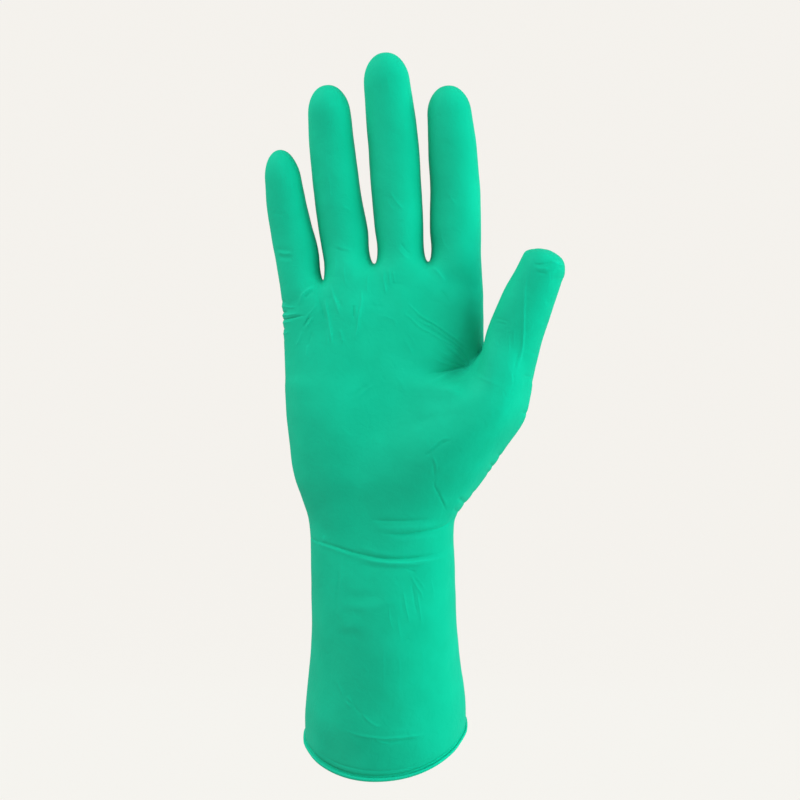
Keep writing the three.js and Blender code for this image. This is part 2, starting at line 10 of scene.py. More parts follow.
import bpy
import numpy as np
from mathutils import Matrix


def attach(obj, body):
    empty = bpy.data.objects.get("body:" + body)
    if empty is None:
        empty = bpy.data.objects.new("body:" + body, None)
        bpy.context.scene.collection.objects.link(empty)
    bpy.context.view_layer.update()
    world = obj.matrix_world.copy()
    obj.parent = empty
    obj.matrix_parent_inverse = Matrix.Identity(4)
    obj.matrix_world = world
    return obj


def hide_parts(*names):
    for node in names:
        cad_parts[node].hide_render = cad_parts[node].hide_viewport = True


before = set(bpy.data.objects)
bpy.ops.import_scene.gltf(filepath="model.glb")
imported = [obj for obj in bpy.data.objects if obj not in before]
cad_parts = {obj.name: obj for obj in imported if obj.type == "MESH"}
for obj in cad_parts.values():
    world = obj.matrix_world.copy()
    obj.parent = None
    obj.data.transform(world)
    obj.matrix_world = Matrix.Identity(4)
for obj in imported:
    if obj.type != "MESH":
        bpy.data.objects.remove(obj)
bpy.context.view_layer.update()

bl_info = {
    "name": "Nitrile glove",
    "version": (1, 0, 0),
    "blender": (4, 5, 0),
    "location": "View3D > Sidebar > Glove",
    "description": "Builds a long-cuffed nitrile glove and the stage it is shown on",
    "category": "Add Mesh",
}

MM = 0.001
FINGERS = 4
STRIP = 4  # cage edges across the front of one finger, and across its back
SIDE = 4  # cage edges from front to back, round a side or over a web
SIDE_DEPTH = 6.5  # half of the depth that the SIDE edges cover on the cuff and palm
ROOT_STEP = 3.0  # height of the first row above a finger's root
TINY = 1e-9  # length below which the sum of a point's normals isn't stretched any further


def rows(names, *values):
    """A table as a dict of columns, from the columns' names and its rows."""
    return dict(zip(names.split(), np.array(values, float).T))


# Sections of the cuff, wrist and palm: where the two sides are, how deep the line between them is, the depths
# to the front and back of that line, and the exponent of the outline, where 2 is an ellipse.
TRUNK = rows(
    "z left right mid_left mid_right front back square",
    (5, -32, 31.5, 0, 0, 25.2, 27, 2.1),
    (14, -31.7, 31.2, -2.5, -3.5, 25.4, 26, 2.1),
    (28, -30.4, 29.4, -6.5, -8, 24.8, 24, 2.1),
    (46, -29.2, 27.8, -11.5, -13.5, 23.2, 22, 2.15),
    (60, -29.1, 27.2, -15, -17.2, 21.6, 20.5, 2.2),
    (72, -29.1, 26.8, -17.5, -20, 19.8, 19.3, 2.2),
    (80, -29.3, 26.4, -19, -21.8, 18, 18.2, 2.25),
    (88, -30, 26.8, -20, -23.6, 17.4, 17.2, 2.3),
    (96, -32.5, 32, -21, -25.8, 17.8, 16.5, 2.4),
    (106, -35.8, 39.8, -21.5, -28, 19.9, 15.8, 2.5),
    (117, -37.5, 47.2, -21.5, -30.5, 22, 15, 2.6),
    (128, -38.6, 53.8, -21.5, -32.5, 22.3, 14.6, 2.8),
    (140, -39.1, 56.2, -21.5, -34, 21.2, 14.4, 3),
)
PALM = rows(
    "z left right mid_left mid_right front back square",
    (140, -39.1, 37, -21.5, -22, 21, 14.4, 2.5),
    (150, -39.3, 38.4, -21.5, -22, 19.5, 14.4, 2.35),
    (165, -39.8, 38.1, -21.5, -22, 16.8, 14.2, 2.2),
    (185, -40.6, 37.6, -21.5, -22, 13.4, 13, 2.2),
)
# How far a section's front hangs below its sides, its back stands above them, and its right side rises.
SLANTS = rows(
    "z dip rise skew",
    (5, 16.8, 7, 0.075),
    (28, 12.5, 6.5, 0.04),
    (46, 10.5, 6, 0.01),
    (60, 9.5, 5.5, 0),
    (72, 8.5, 5, 0),
    (80, 7, 4, 0),
    (96, 3, 2, 0),
    (106, 1, 1, 0),
    (117, 0, 0, 0),
    (140, 0, 0, 0),
)
# Places across the glove where one finger's strip of film meets the next.
SEAMS = rows(
    "z little_ring ring_middle middle_index thumb thumb_behind",
    (0, -19.2, -6.4, 6.4, 19.2, 19.2),
    (72, -17.8, -6.6, 4.4, 15.4, 16),
    (96, -20, -6.3, 7.5, 21, 22.5),
    (120, -21.8, -5.4, 11, 28, 32),
    (140, -22.8, -4.9, 13.5, 32, 40),
    (182, -24.5, -4.3, 16.4, 35, 40),
)
FINGER_SEAMS = ("little_ring", "ring_middle", "middle_index")
# Where the film starts to come forward to the thumb and where it has got there, as shares of the way from
# the middle to the right side: for the front by height, and for the back.
FORWARD = rows(
    "z start end",
    (5, -1, 1),
    (80, -0.7, 0.9),
    (96, -0.4, 0.55),
    (106, -0.35, 0.5),
    (117, -0.2, 0.65),
    (128, 0, 0.85),
    (140, 0.12, 1),
    (185, 0.12, 1),
)
FORWARD_BACK = (0.42, 1.0)

# Fingers and thumb, each a round tube about a centre line: its rows of half sizes, how far the rounded end
# reaches past the last row, how square that end is, how far the cage is turned round it in degrees, and the
# length over which the root turns into a round tube.
DIGIT_COLUMNS = "z x y wide deep"
DIGITS = {
    "little": dict(
        blend=9,
        tip=13.5,
        blunt=2.0,
        turn=0,
        rows=rows(
            DIGIT_COLUMNS,
            (176, -32.8, -21.5, 8, 11.5),
            (186, -33.6, -21.3, 8.8, 9),
            (200, -36.8, -21, 8.1, 8.1),
            (210, -38.7, -21.8, 7.8, 7.7),
            (218, -39.7, -23, 7.2, 7.1),
        ),
    ),
    "ring": dict(
        blend=9,
        tip=12.5,
        blunt=2.1,
        turn=0,
        rows=rows(
            DIGIT_COLUMNS,
            (181, -14.4, -21.8, 9.6, 12.6),
            (193, -15.3, -21.6, 9.6, 9.8),
            (212, -18.5, -22, 9.1, 9),
            (230, -20.7, -23.3, 8.9, 8.5),
            (244, -21.9, -25, 8.3, 7.7),
        ),
    ),
    "middle": dict(
        blend=9,
        tip=13,
        blunt=2.1,
        turn=0,
        rows=rows(
            DIGIT_COLUMNS,
            (183, 6.2, -21.8, 10.2, 12.8),
            (198, 5.3, -22.2, 9.5, 10),
            (215, 4.3, -22.8, 9.8, 9.4),
            (236, 2.7, -24, 9.8, 8.8),
            (256, 0.5, -26, 9, 8),
        ),
    ),
    "index": dict(
        blend=9,
        tip=12.5,
        blunt=2.1,
        turn=0,
        rows=rows(
            DIGIT_COLUMNS,
            (183, 27.3, -22, 10, 12.6),
            (197, 27, -21.6, 10, 9.9),
            (214, 26.9, -21.4, 9.8, 9.2),
            (230, 26.1, -22.6, 9.5, 8.5),
            (244, 24.9, -24.2, 8.7, 7.7),
        ),
    ),
    "thumb": dict(
        blend=18,
        tip=11.5,
        blunt=2.7,
        turn=-30,
        rows=rows(
            DIGIT_COLUMNS,
            (143, 43.6, -34.2, 12.3, 12.2),
            (152, 46.9, -37, 11.3, 11.4),
            (161, 50.3, -39.4, 10.7, 10.7),
            (171, 53.9, -41.4, 10.2, 10),
            (181, 58.4, -43, 9.2, 9),
        ),
    ),
}

# Webs between the fingers: the height of each, how far round the arch it is highest, and how far its ends
# drop.
WEB_TOPS = {"little_ring": 180.8, "ring_middle": 187.8, "middle_index": 188.4}
WEB_PEAK = 0.38
WEB_FRONT_DROP = 4.5
WEB_BACK_DROP = 9.5
OUTER_FRONT = (171, 178)  # heights of the outer corners of the finger roots, in front
OUTER_BACK = (166, 172)  # and behind
# The web between thumb and palm, as points from its fold in the palm to its edge behind.
THUMB_WEB = np.array(
    [(31, -38, 145), (35.5, -34.5, 151.5), (40, -31, 155), (43, -26, 151.5), (40.5, -18.5, 141)]
)

# Soft mounds and hollows of the palm and the back, positive outwards. Side -1 is the front and 1 the back.
MOUNDS = rows(
    "side x z reach_x reach_z height",
    (-1, 34, 108, 15, 20, 1.8),
    (-1, 43, 130, 12, 14, 2),
    (-1, -24, 120, 13, 24, 1.5),
    (-1, -2, 138, 16, 18, -1.2),
    (-1, 31.5, 148.5, 6, 7.5, -6.2),
    (-1, 36, 163, 9, 12, -0.6),
    (-1, -32, 167, 7, 7, 1),
    (-1, -14, 170, 7, 7, 1.2),
    (-1, 6.5, 172, 7, 7, 1.2),
    (-1, 27, 169, 7, 7, 1),
    (1, -31, 156, 6.5, 8, 1.8),
    (1, -13, 162, 7, 8, 2.2),
    (1, 7, 164, 7, 8, 2.4),
    (1, 27, 160, 7, 8, 2.2),
    (1, -18, 64, 8, 9, 2.2),
)

# Broad soft rises and hollows of the film in front, finer than MOUNDS: the place as FRONT_FOLDS gives it,
# the reach and the height, in millimetres.
SWELLS = rows(
    "x z reach_x reach_z height",
    (1, 52, 9, 36, 1),  # down the cuff
    (-24, 9, 9, 8, 0.8),  # above the hem
    (-8, 2, 12, 7, 0.9),
    (-10, 101, 18, 7, 1),  # heel of the palm
    (15, 112, 10, 14, 0.9),
    (25, 150, 5, 6, 0.8),  # beside the thumb's web
    (33, 164, 6, 15, 1.7),
    (24, 184, 8, 7, -0.6),  # where the fingers begin
    (6, 175, 14, 7, -0.8),
    (-22, 180, 10, 7, -0.8),
)

# How the film round the webs settles: all of it near a web, and less up to the far distance.
RELAX_SHARE = 0.5
RELAX_NEAR = 3.0
RELAX_FAR = 14.0
WEB_FREEDOM = 0.3  # of a web's own points

RING_START = 225  # degrees from the right, anticlockwise seen from above, at which a finger's rings start
TIP_RINGS = 4  # rings of the cage up a rounded fingertip, and the angle from its rim to the patch over it
TIP_PATCH_ANGLE = 64

# Where the film is split into smaller faces. SPLITS is the turn of the film over one face, in radians, above
# which the face is split: one limit for the cage's faces once subdivided, one for their quarters, and one for
# the quarters of those.
SPLITS = (0.175, 0.25, 0.53)
SPLIT_MARGIN = 0.6  # how far from a face's corners a fold still counts, in sizes of a face
SPLIT_ROUND = 0.985  # cosine of a face's own turn, from its middle to a corner, below which it is split once
SPLIT_CLEAR = -0.2  # height above the hem below which nothing is split
SPLIT_HEM = 2.7  # height below which every face above the hem is split once

# The hem and its rolled bead.
HEM_ROWS = np.array([1.2, 2.6])  # heights above the hem of the cage's closer rows there
HEM_GROOVE = 0.55  # depth, height above the hem and reach of the groove above the bead
HEM_GROOVE_AT = 0.2
HEM_GROOVE_REACH = 0.5
BEAD_HIGHLIGHT = 0.8  # how far the rolled bead is painted in the lighter crest colour: a painted highlight along the roll
BEAD_DROP = 1.1  # from the hem down to the middle of the roll, in radii
BEAD_ANGLES = (-78, -52, -28, -8, 8, 22, 36, 50, 66, 88, 110, 132, 156)  # round the roll, in degrees
ROLL_GROOVE = 0.16  # of the bead's radius, where the roll shows two turns on the right in front
ROLL_GROOVE_AT = 30  # degrees round the roll, and its reach in degrees
ROLL_GROOVE_REACH = 13
ROLL_GROOVE_FROM = -4  # x where it starts, and the lengths over which it grows to the right and to the front
ROLL_GROOVE_ACROSS = 14
ROLL_GROOVE_AHEAD = 8

# How folds and swells press the film.
FOLD_CREST = 0.3  # of its reach, over which a fold's crest is round
FOLD_FALL = 1.4  # how fast its flanks fall
FOLD_SPAN = 4  # reaches from a fold's course beyond which nothing of it is left
FOLD_END = 0.3  # share of its length over which a fold dies away at each end
FOLD_END_SLACK = 0.35  # how slowly it does so at first
COURSE_STEPS = 5  # of the curve between two points of a fold's course
FRONT_TURN = 0.45  # y of the film's normal where front folds have died away, and back folds start
BACK_TURN = 0.1
TURN_FADE = 0.5  # change of that y over which they fade
SWELL_TURN = 0.7  # y of the normal towards the viewer from which the swells have their full height
PRESS_FROM = 0.3  # height above the hem where folds and swells start, and over which they grow
PRESS_RISE = 2
VALLEY_SOFT = 1.05  # depth that a fold's valley nears but never reaches
PRESS_DEEPEST = 0.6  # where folds cross, so that the outer wall stays clear of the inner one
EYE = np.array([5.5, -1400.0, 134.3])  # the camera, from where the front folds are drawn on the plane y = 0

# Folds of the film in front, as seen from EYE: how far each stands out, its reach to the left and to the
# right of its own direction, and the points that it runs through.
FRONT_FOLDS = (
    # wrist
    (-0.42, 0.7, 0.45, ((-9.5, 86.7), (-0.4, 86.6), (7.5, 86.6), (15.4, 87), (20.5, 87.5))),
    (0.32, 1.4, 1.0, ((-9.5, 84.1), (-3.2, 83.7), (3.9, 83.6), (11, 84), (18.1, 85), (24.1, 86.7))),
    (-0.62, 0.6, 0.35, (
        (-4, 81.6), (0.8, 81.3), (6.3, 81.2), (11.8, 81.8), (17.4, 82.7), (21.3, 83.6), (24.1, 85),
        (26.3, 87.4), (29, 91),
    )),
    (0.2, 0.9, 1.2, ((-0.8, 79.6), (5.5, 79.2), (11.8, 79.7), (18.1, 80.7), (23.7, 81.5))),
    (0.22, 1.0, 0.7, ((-14.2, 76.8), (-9.5, 75.7), (-4, 74.1), (1.5, 73.3), (7.5, 73.4))),
    (-0.62, 0.5, 0.35, (
        (-34, 80.9), (-29.3, 79.4), (-24.9, 77.9), (-19.2, 76), (-13.5, 74.2), (-7.9, 72.9), (-3.2, 72),
        (1.9, 71.6), (7.5, 71.7), (13, 72.2), (18.1, 73.2), (22.9, 74.4), (27.2, 76.6),
    )),
    (0.2, 0.4, 0.6, (
        (-33, 80), (-28.9, 78.6), (-24.9, 76.9), (-19, 74.8), (-13.5, 72.8), (-7.9, 71.4),
    )),
    (0.6, 0.45, 1.2, (
        (-16, 73.6), (-11, 72.1), (-7.9, 71.4), (-3.2, 70.5), (1.9, 70.1), (7.5, 70), (13, 70.5),
        (18.1, 71.5), (22.9, 72.8), (27.2, 75.1),
    )),
    (-0.26, 1.1, 1.2, (
        (-15.8, 70.7), (-10.3, 69.4), (-4, 68.3), (2.3, 67.8), (8.7, 67.9), (14.2, 68.8), (20.5, 70.3),
    )),
    (-0.3, 0.5, 0.5, ((6.3, 67.9), (8.7, 67.3), (11, 66.6), (12.6, 66.8))),
    (0.2, 0.5, 0.5, ((-24.6, 81), (-24.4, 79.4), (-24.7, 77.8))),
    (-0.2, 0.45, 0.45, ((-29.3, 79.8), (-27.3, 78.4), (-26.1, 77))),
    # cuff
    (0.17, 0.4, 0.5, ((8.9, 67), (10.2, 64.1), (12.2, 60.4), (13.8, 58.1), (15, 54.1))),
    (0.14, 0.4, 0.4, ((12.1, 60.4), (12.5, 56.5), (13.3, 51.4), (14, 45))),
    (0.14, 0.4, 0.4, ((6.4, 60.8), (7.4, 54.5), (8.3, 50.1), (9.6, 44.6))),
    (0.1, 0.4, 0.4, ((10.2, 65.7), (13.4, 62.5), (15.9, 58.5))),
    (-0.14, 0.5, 0.5, ((9.4, 64.4), (10.6, 58.7), (11.4, 53.3), (13, 47.4))),
    (-0.1, 0.5, 0.5, ((5.5, 59.3), (6.1, 53.7), (7.1, 48.6))),
    (0.1, 0.45, 0.45, ((17.4, 65.2), (18.5, 59.3), (18.9, 53.7))),
    (0.1, 0.45, 0.45, ((0.8, 55.3), (1.5, 48.2), (3.1, 41.9))),
    (0.09, 0.45, 0.45, ((4.3, 50.6), (5.1, 43.5), (6.7, 37.1))),
    (-0.14, 0.6, 0.6, ((-18.8, 72.7), (-18.9, 64), (-19.5, 56.9), (-20, 42.7))),
    (0.12, 0.5, 0.5, ((-17.8, 72.3), (-17.8, 65.2), (-18.2, 55.3))),
    (-0.1, 0.5, 0.5, ((-21.8, 39.5), (-22, 28.4), (-22.3, 18.2))),
    (-0.22, 1.6, 1.6, ((-8.7, 63.2), (-6, 62.3), (-3.2, 61.9))),
    (-0.28, 2.0, 2.0, ((-19, 56.1), (-13.5, 56.6), (-5.6, 56.5), (1.9, 56.2))),
    (0.26, 1.8, 1.8, ((-18.6, 52.4), (-11.1, 52.6), (-2.4, 53.7), (6.3, 55))),
    (-0.28, 2.0, 2.0, ((-19, 49.8), (-13.5, 50.1), (-7.1, 49.5))),
    (0.2, 1.8, 1.8, ((-19, 44.6), (-14.2, 45.2), (-8.7, 44.9))),
    (-0.28, 2.0, 2.0, ((-19.8, 42.3), (-14.2, 41.9), (-7.9, 40.4))),
    (0.08, 0.5, 0.5, ((-1, 41.1), (-0.9, 28.4), (-1.1, 14.2))),
    (0.07, 0.5, 0.5, ((4.7, 35.6), (5.3, 26.1), (4.7, 15.8))),
    (0.07, 0.5, 0.5, ((13.8, 39.5), (14.6, 30), (14.2, 19.8))),
    (0.14, 0.45, 0.45, ((-19.8, 24.9), (-18.2, 20.5), (-16.4, 17))),
    (0.18, 0.45, 0.45, ((-15.7, 17.6), (-13.3, 14.6))),
    (0.16, 0.45, 0.45, ((-16.2, 16.2), (-15, 14.2), (-13.6, 12.1))),
    (-0.12, 0.5, 0.5, ((-13.5, 14.2), (-11.1, 11.6), (-8.7, 9.1))),
    (0.2, 0.45, 0.45, ((-10.5, 11.3), (-6.9, 7.7), (-3.7, 5.8), (-0, 5.3))),
    (0.3, 0.5, 0.4, (
        (-19.4, 5.1), (-14.8, 3.4), (-10.1, 1.9), (-5.8, 1.3), (-2.4, 0.8), (1.8, 0.9), (7.7, 1.3),
        (13, 1.8), (18.9, 2.6),
    )),
    (-0.3, 0.4, 0.8, ((-4.8, 0.2), (-0.8, -0.4), (3.9, -0.3), (8.7, 0.2), (14.2, 0.9))),
    (0.16, 0.4, 0.4, ((-5.8, 1.7), (-3.1, -0.2), (-0.4, -1.2), (3.1, -1.2))),
    (0.08, 0.5, 0.5, ((-0.8, 3.6), (5.5, 4), (13.4, 3.8))),
    (-0.2, 0.45, 0.4, (
        (-29.5, -1.5), (-25, -5.6), (-18.4, -9.6), (-6.7, -12.1), (5.9, -11.6), (15, -8.6), (22, -5),
    )),
    # thumb web and the palm beside it
    (-0.6, 0.4, 0.5, (
        (15.4, 144), (18.9, 145.2), (23.7, 145.9), (28.4, 146.9), (32.4, 147.6), (34.7, 149.3),
        (36.3, 151.7),
    )),
    (0.4, 0.9, 1.3, (
        (11.8, 141.1), (17.7, 141.5), (23.3, 143.9), (27.6, 145.6), (32, 145.9), (34.5, 148.1),
        (37.5, 151.4), (39.2, 156),
    )),
    (0.16, 0.6, 0.6, (
        (27.2, 141.4), (32, 144.9), (35.1, 144.6), (39.5, 142.2), (43.8, 140.6), (48.2, 139.8),
    )),
    (0.32, 0.35, 0.35, (
        (2.2, 179.1), (6.1, 176.1), (10.5, 170.8), (13.6, 167.6), (19.1, 164.4), (24.5, 160.6),
        (29.8, 156.3), (35.5, 151.7),
    )),
    (0.28, 0.35, 0.35, (
        (9.4, 169.3), (13.7, 165.4), (19.1, 162.7), (23.4, 159.5), (27.6, 156.3), (32.4, 151.7),
    )),
    (0.32, 0.35, 0.35, (
        (4.7, 171), (8.3, 167.9), (13.2, 163.2), (18, 160.6), (22.9, 157.6), (27.6, 154.6),
        (30.8, 151.3),
    )),
    (-0.24, 0.35, 0.35, (
        (11, 169.5), (13.8, 166.5), (19.1, 163.5), (23.7, 160.1), (28.4, 156.3), (33.2, 152.1),
    )),
    (-0.24, 0.35, 0.35, ((15, 163.3), (20.5, 160.4), (25.2, 157.4), (29.2, 154.1))),
    (-0.2, 0.35, 0.35, ((22, 160.2), (26.5, 156.4), (30.3, 152.2), (33, 148.2), (36, 144))),
    (0.28, 0.35, 0.35, ((20.5, 158.5), (25, 155), (29, 151.2), (32.5, 147.5), (36, 143.5))),
    (-0.26, 0.35, 0.35, ((20.5, 156.8), (25, 153.4), (29, 149.8), (32.5, 146.6), (36, 143))),
    (0.26, 0.35, 0.35, ((18.5, 155.6), (24, 151.8), (28.5, 148.9), (32, 146.6), (36, 143))),
    (-0.24, 0.35, 0.35, ((18, 153.8), (23, 150.4), (28, 148), (32, 146), (36, 143))),
    (0.24, 0.35, 0.35, ((16, 152.6), (21.5, 149.3), (27, 147.3), (32, 145.6), (36, 143))),
    (0.12, 0.5, 0.5, ((-3.6, 168.7), (-0.8, 167.5), (3.3, 165.7), (4.7, 162))),
    (0.12, 0.5, 0.5, ((6.1, 158.8), (8.7, 156), (11, 151.3))),
    (-0.12, 0.6, 0.6, ((-7.5, 171.8), (-3.6, 171.6), (-0, 170.6))),
    (-0.1, 0.5, 0.5, ((2.3, 175.4), (6.3, 171.4), (10.2, 166.7))),
    (0.1, 0.4, 0.4, ((7.1, 162), (10.2, 158.8), (12.6, 154.4))),
    (0.14, 0.5, 0.5, ((-13.9, 133.1), (-9.9, 136.5), (-5.2, 140.2), (-2.4, 141.4))),
    (-0.12, 0.5, 0.5, ((-14.6, 134.7), (-10.7, 137.9), (-6.4, 141))),
    (0.08, 0.5, 0.5, ((-11.9, 130.4), (-7.1, 134.3), (-2.4, 136.3))),
    (0.08, 0.6, 0.6, ((2.3, 145.4), (6.3, 140.6), (8.7, 135.1))),
    (0.1, 1.2, 1.2, ((-4.8, 120.9), (-2, 117.3), (-0.4, 114.6))),
    # fan below the web of little and ring finger
    (-0.74, 0.6, 0.7, (
        (-22.6, 185), (-23.6, 182), (-24.6, 179.4), (-25.4, 176.4), (-25.8, 172.6), (-25.4, 168),
    )),
    (-0.4, 0.5, 0.5, ((-25.5, 173.8), (-25.2, 170.2), (-24.1, 166.7), (-22.8, 164.7))),
    (0.51, 0.7, 0.5, ((-22.6, 183), (-21, 175.5), (-19.5, 171.6), (-18, 166.3))),
    (0.45, 0.5, 0.6, (
        (-24.2, 177.4), (-24, 173.8), (-23.3, 169.5), (-22.1, 162.7), (-21.3, 156.4), (-20.8, 152.9),
    )),
    (0.26, 0.5, 0.5, ((-18.4, 163.1), (-17.6, 159.6), (-16.8, 156))),
    (-0.32, 0.5, 0.5, ((-22.2, 181.3), (-20.4, 177.8), (-18.7, 173.8), (-17.4, 169.1))),
    (0.38, 0.8, 0.5, (
        (-26.5, 180.3), (-29.3, 178.9), (-31.5, 177.5), (-33.2, 175.8), (-34.1, 173), (-34.9, 170.4),
    )),
    (-0.26, 0.5, 0.5, ((-28.1, 177.8), (-30.8, 175.9), (-32.2, 173.8))),
    (0.26, 0.5, 0.4, ((-27.3, 173.8), (-28.9, 170), (-31.4, 167), (-32.8, 162.7))),
    (0.35, 0.45, 0.45, ((-28.5, 167.6), (-30.5, 164.5), (-32.1, 162))),
    (-0.29, 0.45, 0.45, ((-29.7, 167.9), (-31.6, 165.1), (-33.1, 162.1))),
    (0.26, 0.45, 0.45, ((-33.1, 162.3), (-34, 158.6), (-35.8, 154.8))),
    (0.19, 0.45, 0.45, ((-30.7, 156.8), (-31.2, 153.7), (-31.6, 150.5))),
    (-0.19, 0.5, 0.5, ((-28.9, 162), (-30.1, 158), (-30.8, 154.8))),
    (0.22, 0.45, 0.45, ((-23.3, 164.3), (-22.9, 159.6), (-23.1, 154.8))),
    # wrinkles round the palm's left edge
    (-0.3, 0.4, 0.5, ((-43.5, 173.4), (-41, 173.2), (-38.9, 172.6))),
    (0.26, 0.5, 0.4, ((-43.5, 171), (-40.5, 171.2), (-37.5, 170.8), (-34.8, 171.2))),
    (-0.42, 0.4, 0.5, ((-44, 169.2), (-41.2, 168.9), (-38.2, 169.3))),
    (0.3, 0.5, 0.4, ((-43.5, 167.6), (-40.5, 167.6), (-36.4, 168.2), (-33.6, 168.6))),
    (-0.45, 0.35, 0.45, (
        (-43.5, 166.4), (-40.3, 166.1), (-36.8, 166.7), (-33.8, 167.5), (-31.2, 167.4),
    )),
    (0.24, 0.4, 0.5, ((-43, 164.6), (-39.4, 164.9), (-36.5, 165.6))),
    (-0.4, 0.45, 0.4, ((-44, 162.6), (-41.4, 162.3), (-39.2, 162.9))),
    (0.2, 0.5, 0.5, ((-42.5, 160.2), (-39.8, 160.6), (-37.6, 161.6))),
    (-0.36, 0.5, 0.4, ((-44, 158.2), (-41.6, 157.9), (-39.6, 158.2))),
    (-0.24, 0.4, 0.4, ((-43.5, 153.9), (-41.4, 153.5), (-39.8, 153.7))),
    (-0.2, 0.5, 0.5, ((-43, 149.2), (-41.2, 149.2), (-39.8, 149.6))),
    # palm below the middle finger, and the fingers
    (0.32, 0.5, 0.4, (
        (-10.1, 180.9), (-9.7, 177), (-9.9, 171.6), (-10.9, 166.7), (-11.2, 162.7), (-12.4, 159.2),
        (-13.6, 155.6),
    )),
    (-0.32, 0.5, 0.5, ((-12.7, 172.6), (-12.8, 169.1), (-12.8, 165.5))),
    (0.22, 0.4, 0.4, ((-11.9, 172.2), (-11.9, 168.3), (-11.9, 165.1))),
    (0.22, 0.4, 0.4, ((-6.4, 185.7), (-7.5, 179.7), (-7.1, 175.4))),
    (0.32, 0.5, 0.5, ((-1.3, 187.2), (-0.8, 180.9), (0.3, 175))),
    (0.26, 0.45, 0.45, ((0.7, 187.2), (1.4, 182.5), (1.5, 178.5))),
    (0.19, 0.4, 0.4, ((2.7, 186.4), (3, 182.9), (3.9, 179.3))),
    (-0.29, 0.5, 0.5, ((1.9, 181.1), (4.7, 179.6), (9.1, 179))),
    (-0.22, 0.5, 0.5, ((5.1, 197.1), (8.1, 193.3), (10.9, 191.6))),
    (0.18, 0.6, 0.6, ((3.9, 195.1), (7.1, 191.3), (10.6, 189.2))),
    (0.18, 0.6, 0.5, ((0.8, 218), (3.1, 213.9), (5.9, 210.5), (8.3, 208.6))),
    (0.12, 0.45, 0.45, ((-0, 214.9), (1.5, 211.3), (3.9, 208.2))),
    (-0.14, 1.2, 1.2, ((-5.2, 261.5), (-3.2, 256), (-1.6, 248.9))),
    (0.12, 0.6, 0.6, ((-0.8, 264.6), (0.8, 259.1), (1.2, 252.8))),
    (0.38, 0.8, 0.8, ((17.2, 187.8), (20.7, 184.7), (24.1, 179.9))),
    (-0.2, 0.6, 0.6, ((20.9, 178.9), (24, 174.7), (25.2, 171.4))),
    (-0.2, 2.4, 2.4, ((-26.9, 207.8), (-19, 207.1), (-10.3, 207.8))),
    (0.12, 0.5, 0.5, ((-18.2, 210.9), (-15, 209.7), (-13.5, 207.8))),
    (0.12, 0.5, 0.5, ((-21, 195.9), (-17.8, 194.5), (-15, 193.8), (-11.9, 192.8))),
    (-0.12, 0.5, 0.5, ((-21, 194.7), (-17.8, 193.3), (-14.2, 192.4))),
    (0.1, 0.5, 0.5, ((-18.2, 190.8), (-15.8, 188.8), (-13.5, 188.4))),
    (-0.28, 0.8, 0.8, ((-44.3, 194.7), (-41.1, 193.4), (-36.4, 193.6))),
    (0.18, 0.6, 0.6, ((-43.9, 193.2), (-40.7, 192.1), (-36, 192.4))),
    (-0.25, 0.8, 0.8, ((-43.5, 191.6), (-40.3, 190.5), (-36, 190.8))),
    (0.12, 0.6, 0.6, ((-43.1, 189.6), (-39.5, 188.8), (-36.4, 189.2))),
    (-0.12, 0.6, 0.6, ((-45.9, 208.6), (-41.9, 207.8), (-38, 208.2))),
    (-0.18, 2.4, 2.4, ((-4.8, 214.9), (3.1, 214.2), (11.8, 215.3))),
    (-0.18, 2.4, 2.4, ((18.5, 214.9), (26, 214.2), (34.7, 215.3))),
    (-0.16, 2.0, 2.0, ((-5.6, 239.4), (2.3, 238.7), (10.2, 239.4))),
    (-0.16, 2.0, 2.0, ((18.5, 235.8), (26, 235.2), (33.9, 235.8))),
    (-0.16, 2.0, 2.0, ((-28.1, 232.3), (-21.4, 231.6), (-14.2, 232.3))),
    (0.12, 0.5, 0.5, ((24.1, 217.2), (26, 213.3), (28.8, 210.9))),
    (0.12, 0.5, 0.5, ((21.3, 200.7), (22.9, 195.9), (26, 192))),
    (0.12, 0.5, 0.5, ((-23.7, 225.2), (-22.2, 218.8), (-22.2, 211.7))),
    (0.15, 0.45, 0.45, ((-20.6, 192), (-19.8, 187.2), (-21, 181.7))),
    (0.12, 0.45, 0.45, ((-16.2, 188.8), (-16.6, 184.1), (-15.8, 178.5))),
    # thumb: the flat of its tip and the dent beside it, then its creases
    (0.6, 2.2, 2.2, ((53.5, 194.5), (56, 192))),
    (-0.7, 2.6, 2.6, ((65, 182.6), (71, 181.4))),
    (0.45, 1, 0.9, ((63.8, 189.6), (67.2, 188.4), (71, 187.2))),
    (0.34, 0.5, 0.7, (
        (55.7, 190), (55.9, 185.7), (55, 179.3), (54.6, 173.4), (54.4, 165.3), (54.1, 157.8),
        (53.1, 151.3), (51.6, 145.4), (51.2, 139),
    )),
    (-0.2, 0.6, 0.6, ((52.5, 154.1), (51.3, 149.3), (50.5, 144.6))),
    (0.12, 0.4, 0.4, ((50.5, 163.5), (50.4, 159.2), (50.5, 154.8))),
    (0.1, 0.4, 0.4, ((48.2, 161.2), (48.6, 156.4), (48.6, 151.7))),
    (-0.16, 0.5, 0.5, ((41.8, 166.8), (45.4, 166.1), (49.3, 164.9))),
    (-0.14, 0.5, 0.5, ((42.2, 165.3), (45.4, 164.6), (48.6, 163.8))),
    (0.1, 0.5, 0.5, ((41.8, 158), (43.8, 156.4), (45, 154.1))),
    (-0.3, 0.6, 0.6, ((56.9, 188.6), (59.2, 187.9), (62.4, 187.9), (65.5, 189), (68.3, 190.8))),
    (-0.22, 0.6, 0.6, ((58.8, 185.3), (61.2, 184.5), (64.4, 184.3))),
    (0.18, 0.6, 0.6, ((57.6, 186.7), (61.2, 186.1), (65.1, 186.4))),
    (-0.45, 1.6, 1.6, ((56.1, 193.6), (59.2, 195.1), (65.5, 195.1))),
    (-0.3, 1.4, 1.4, ((68.3, 185.8), (69.1, 186.2), (70.3, 186.4))),
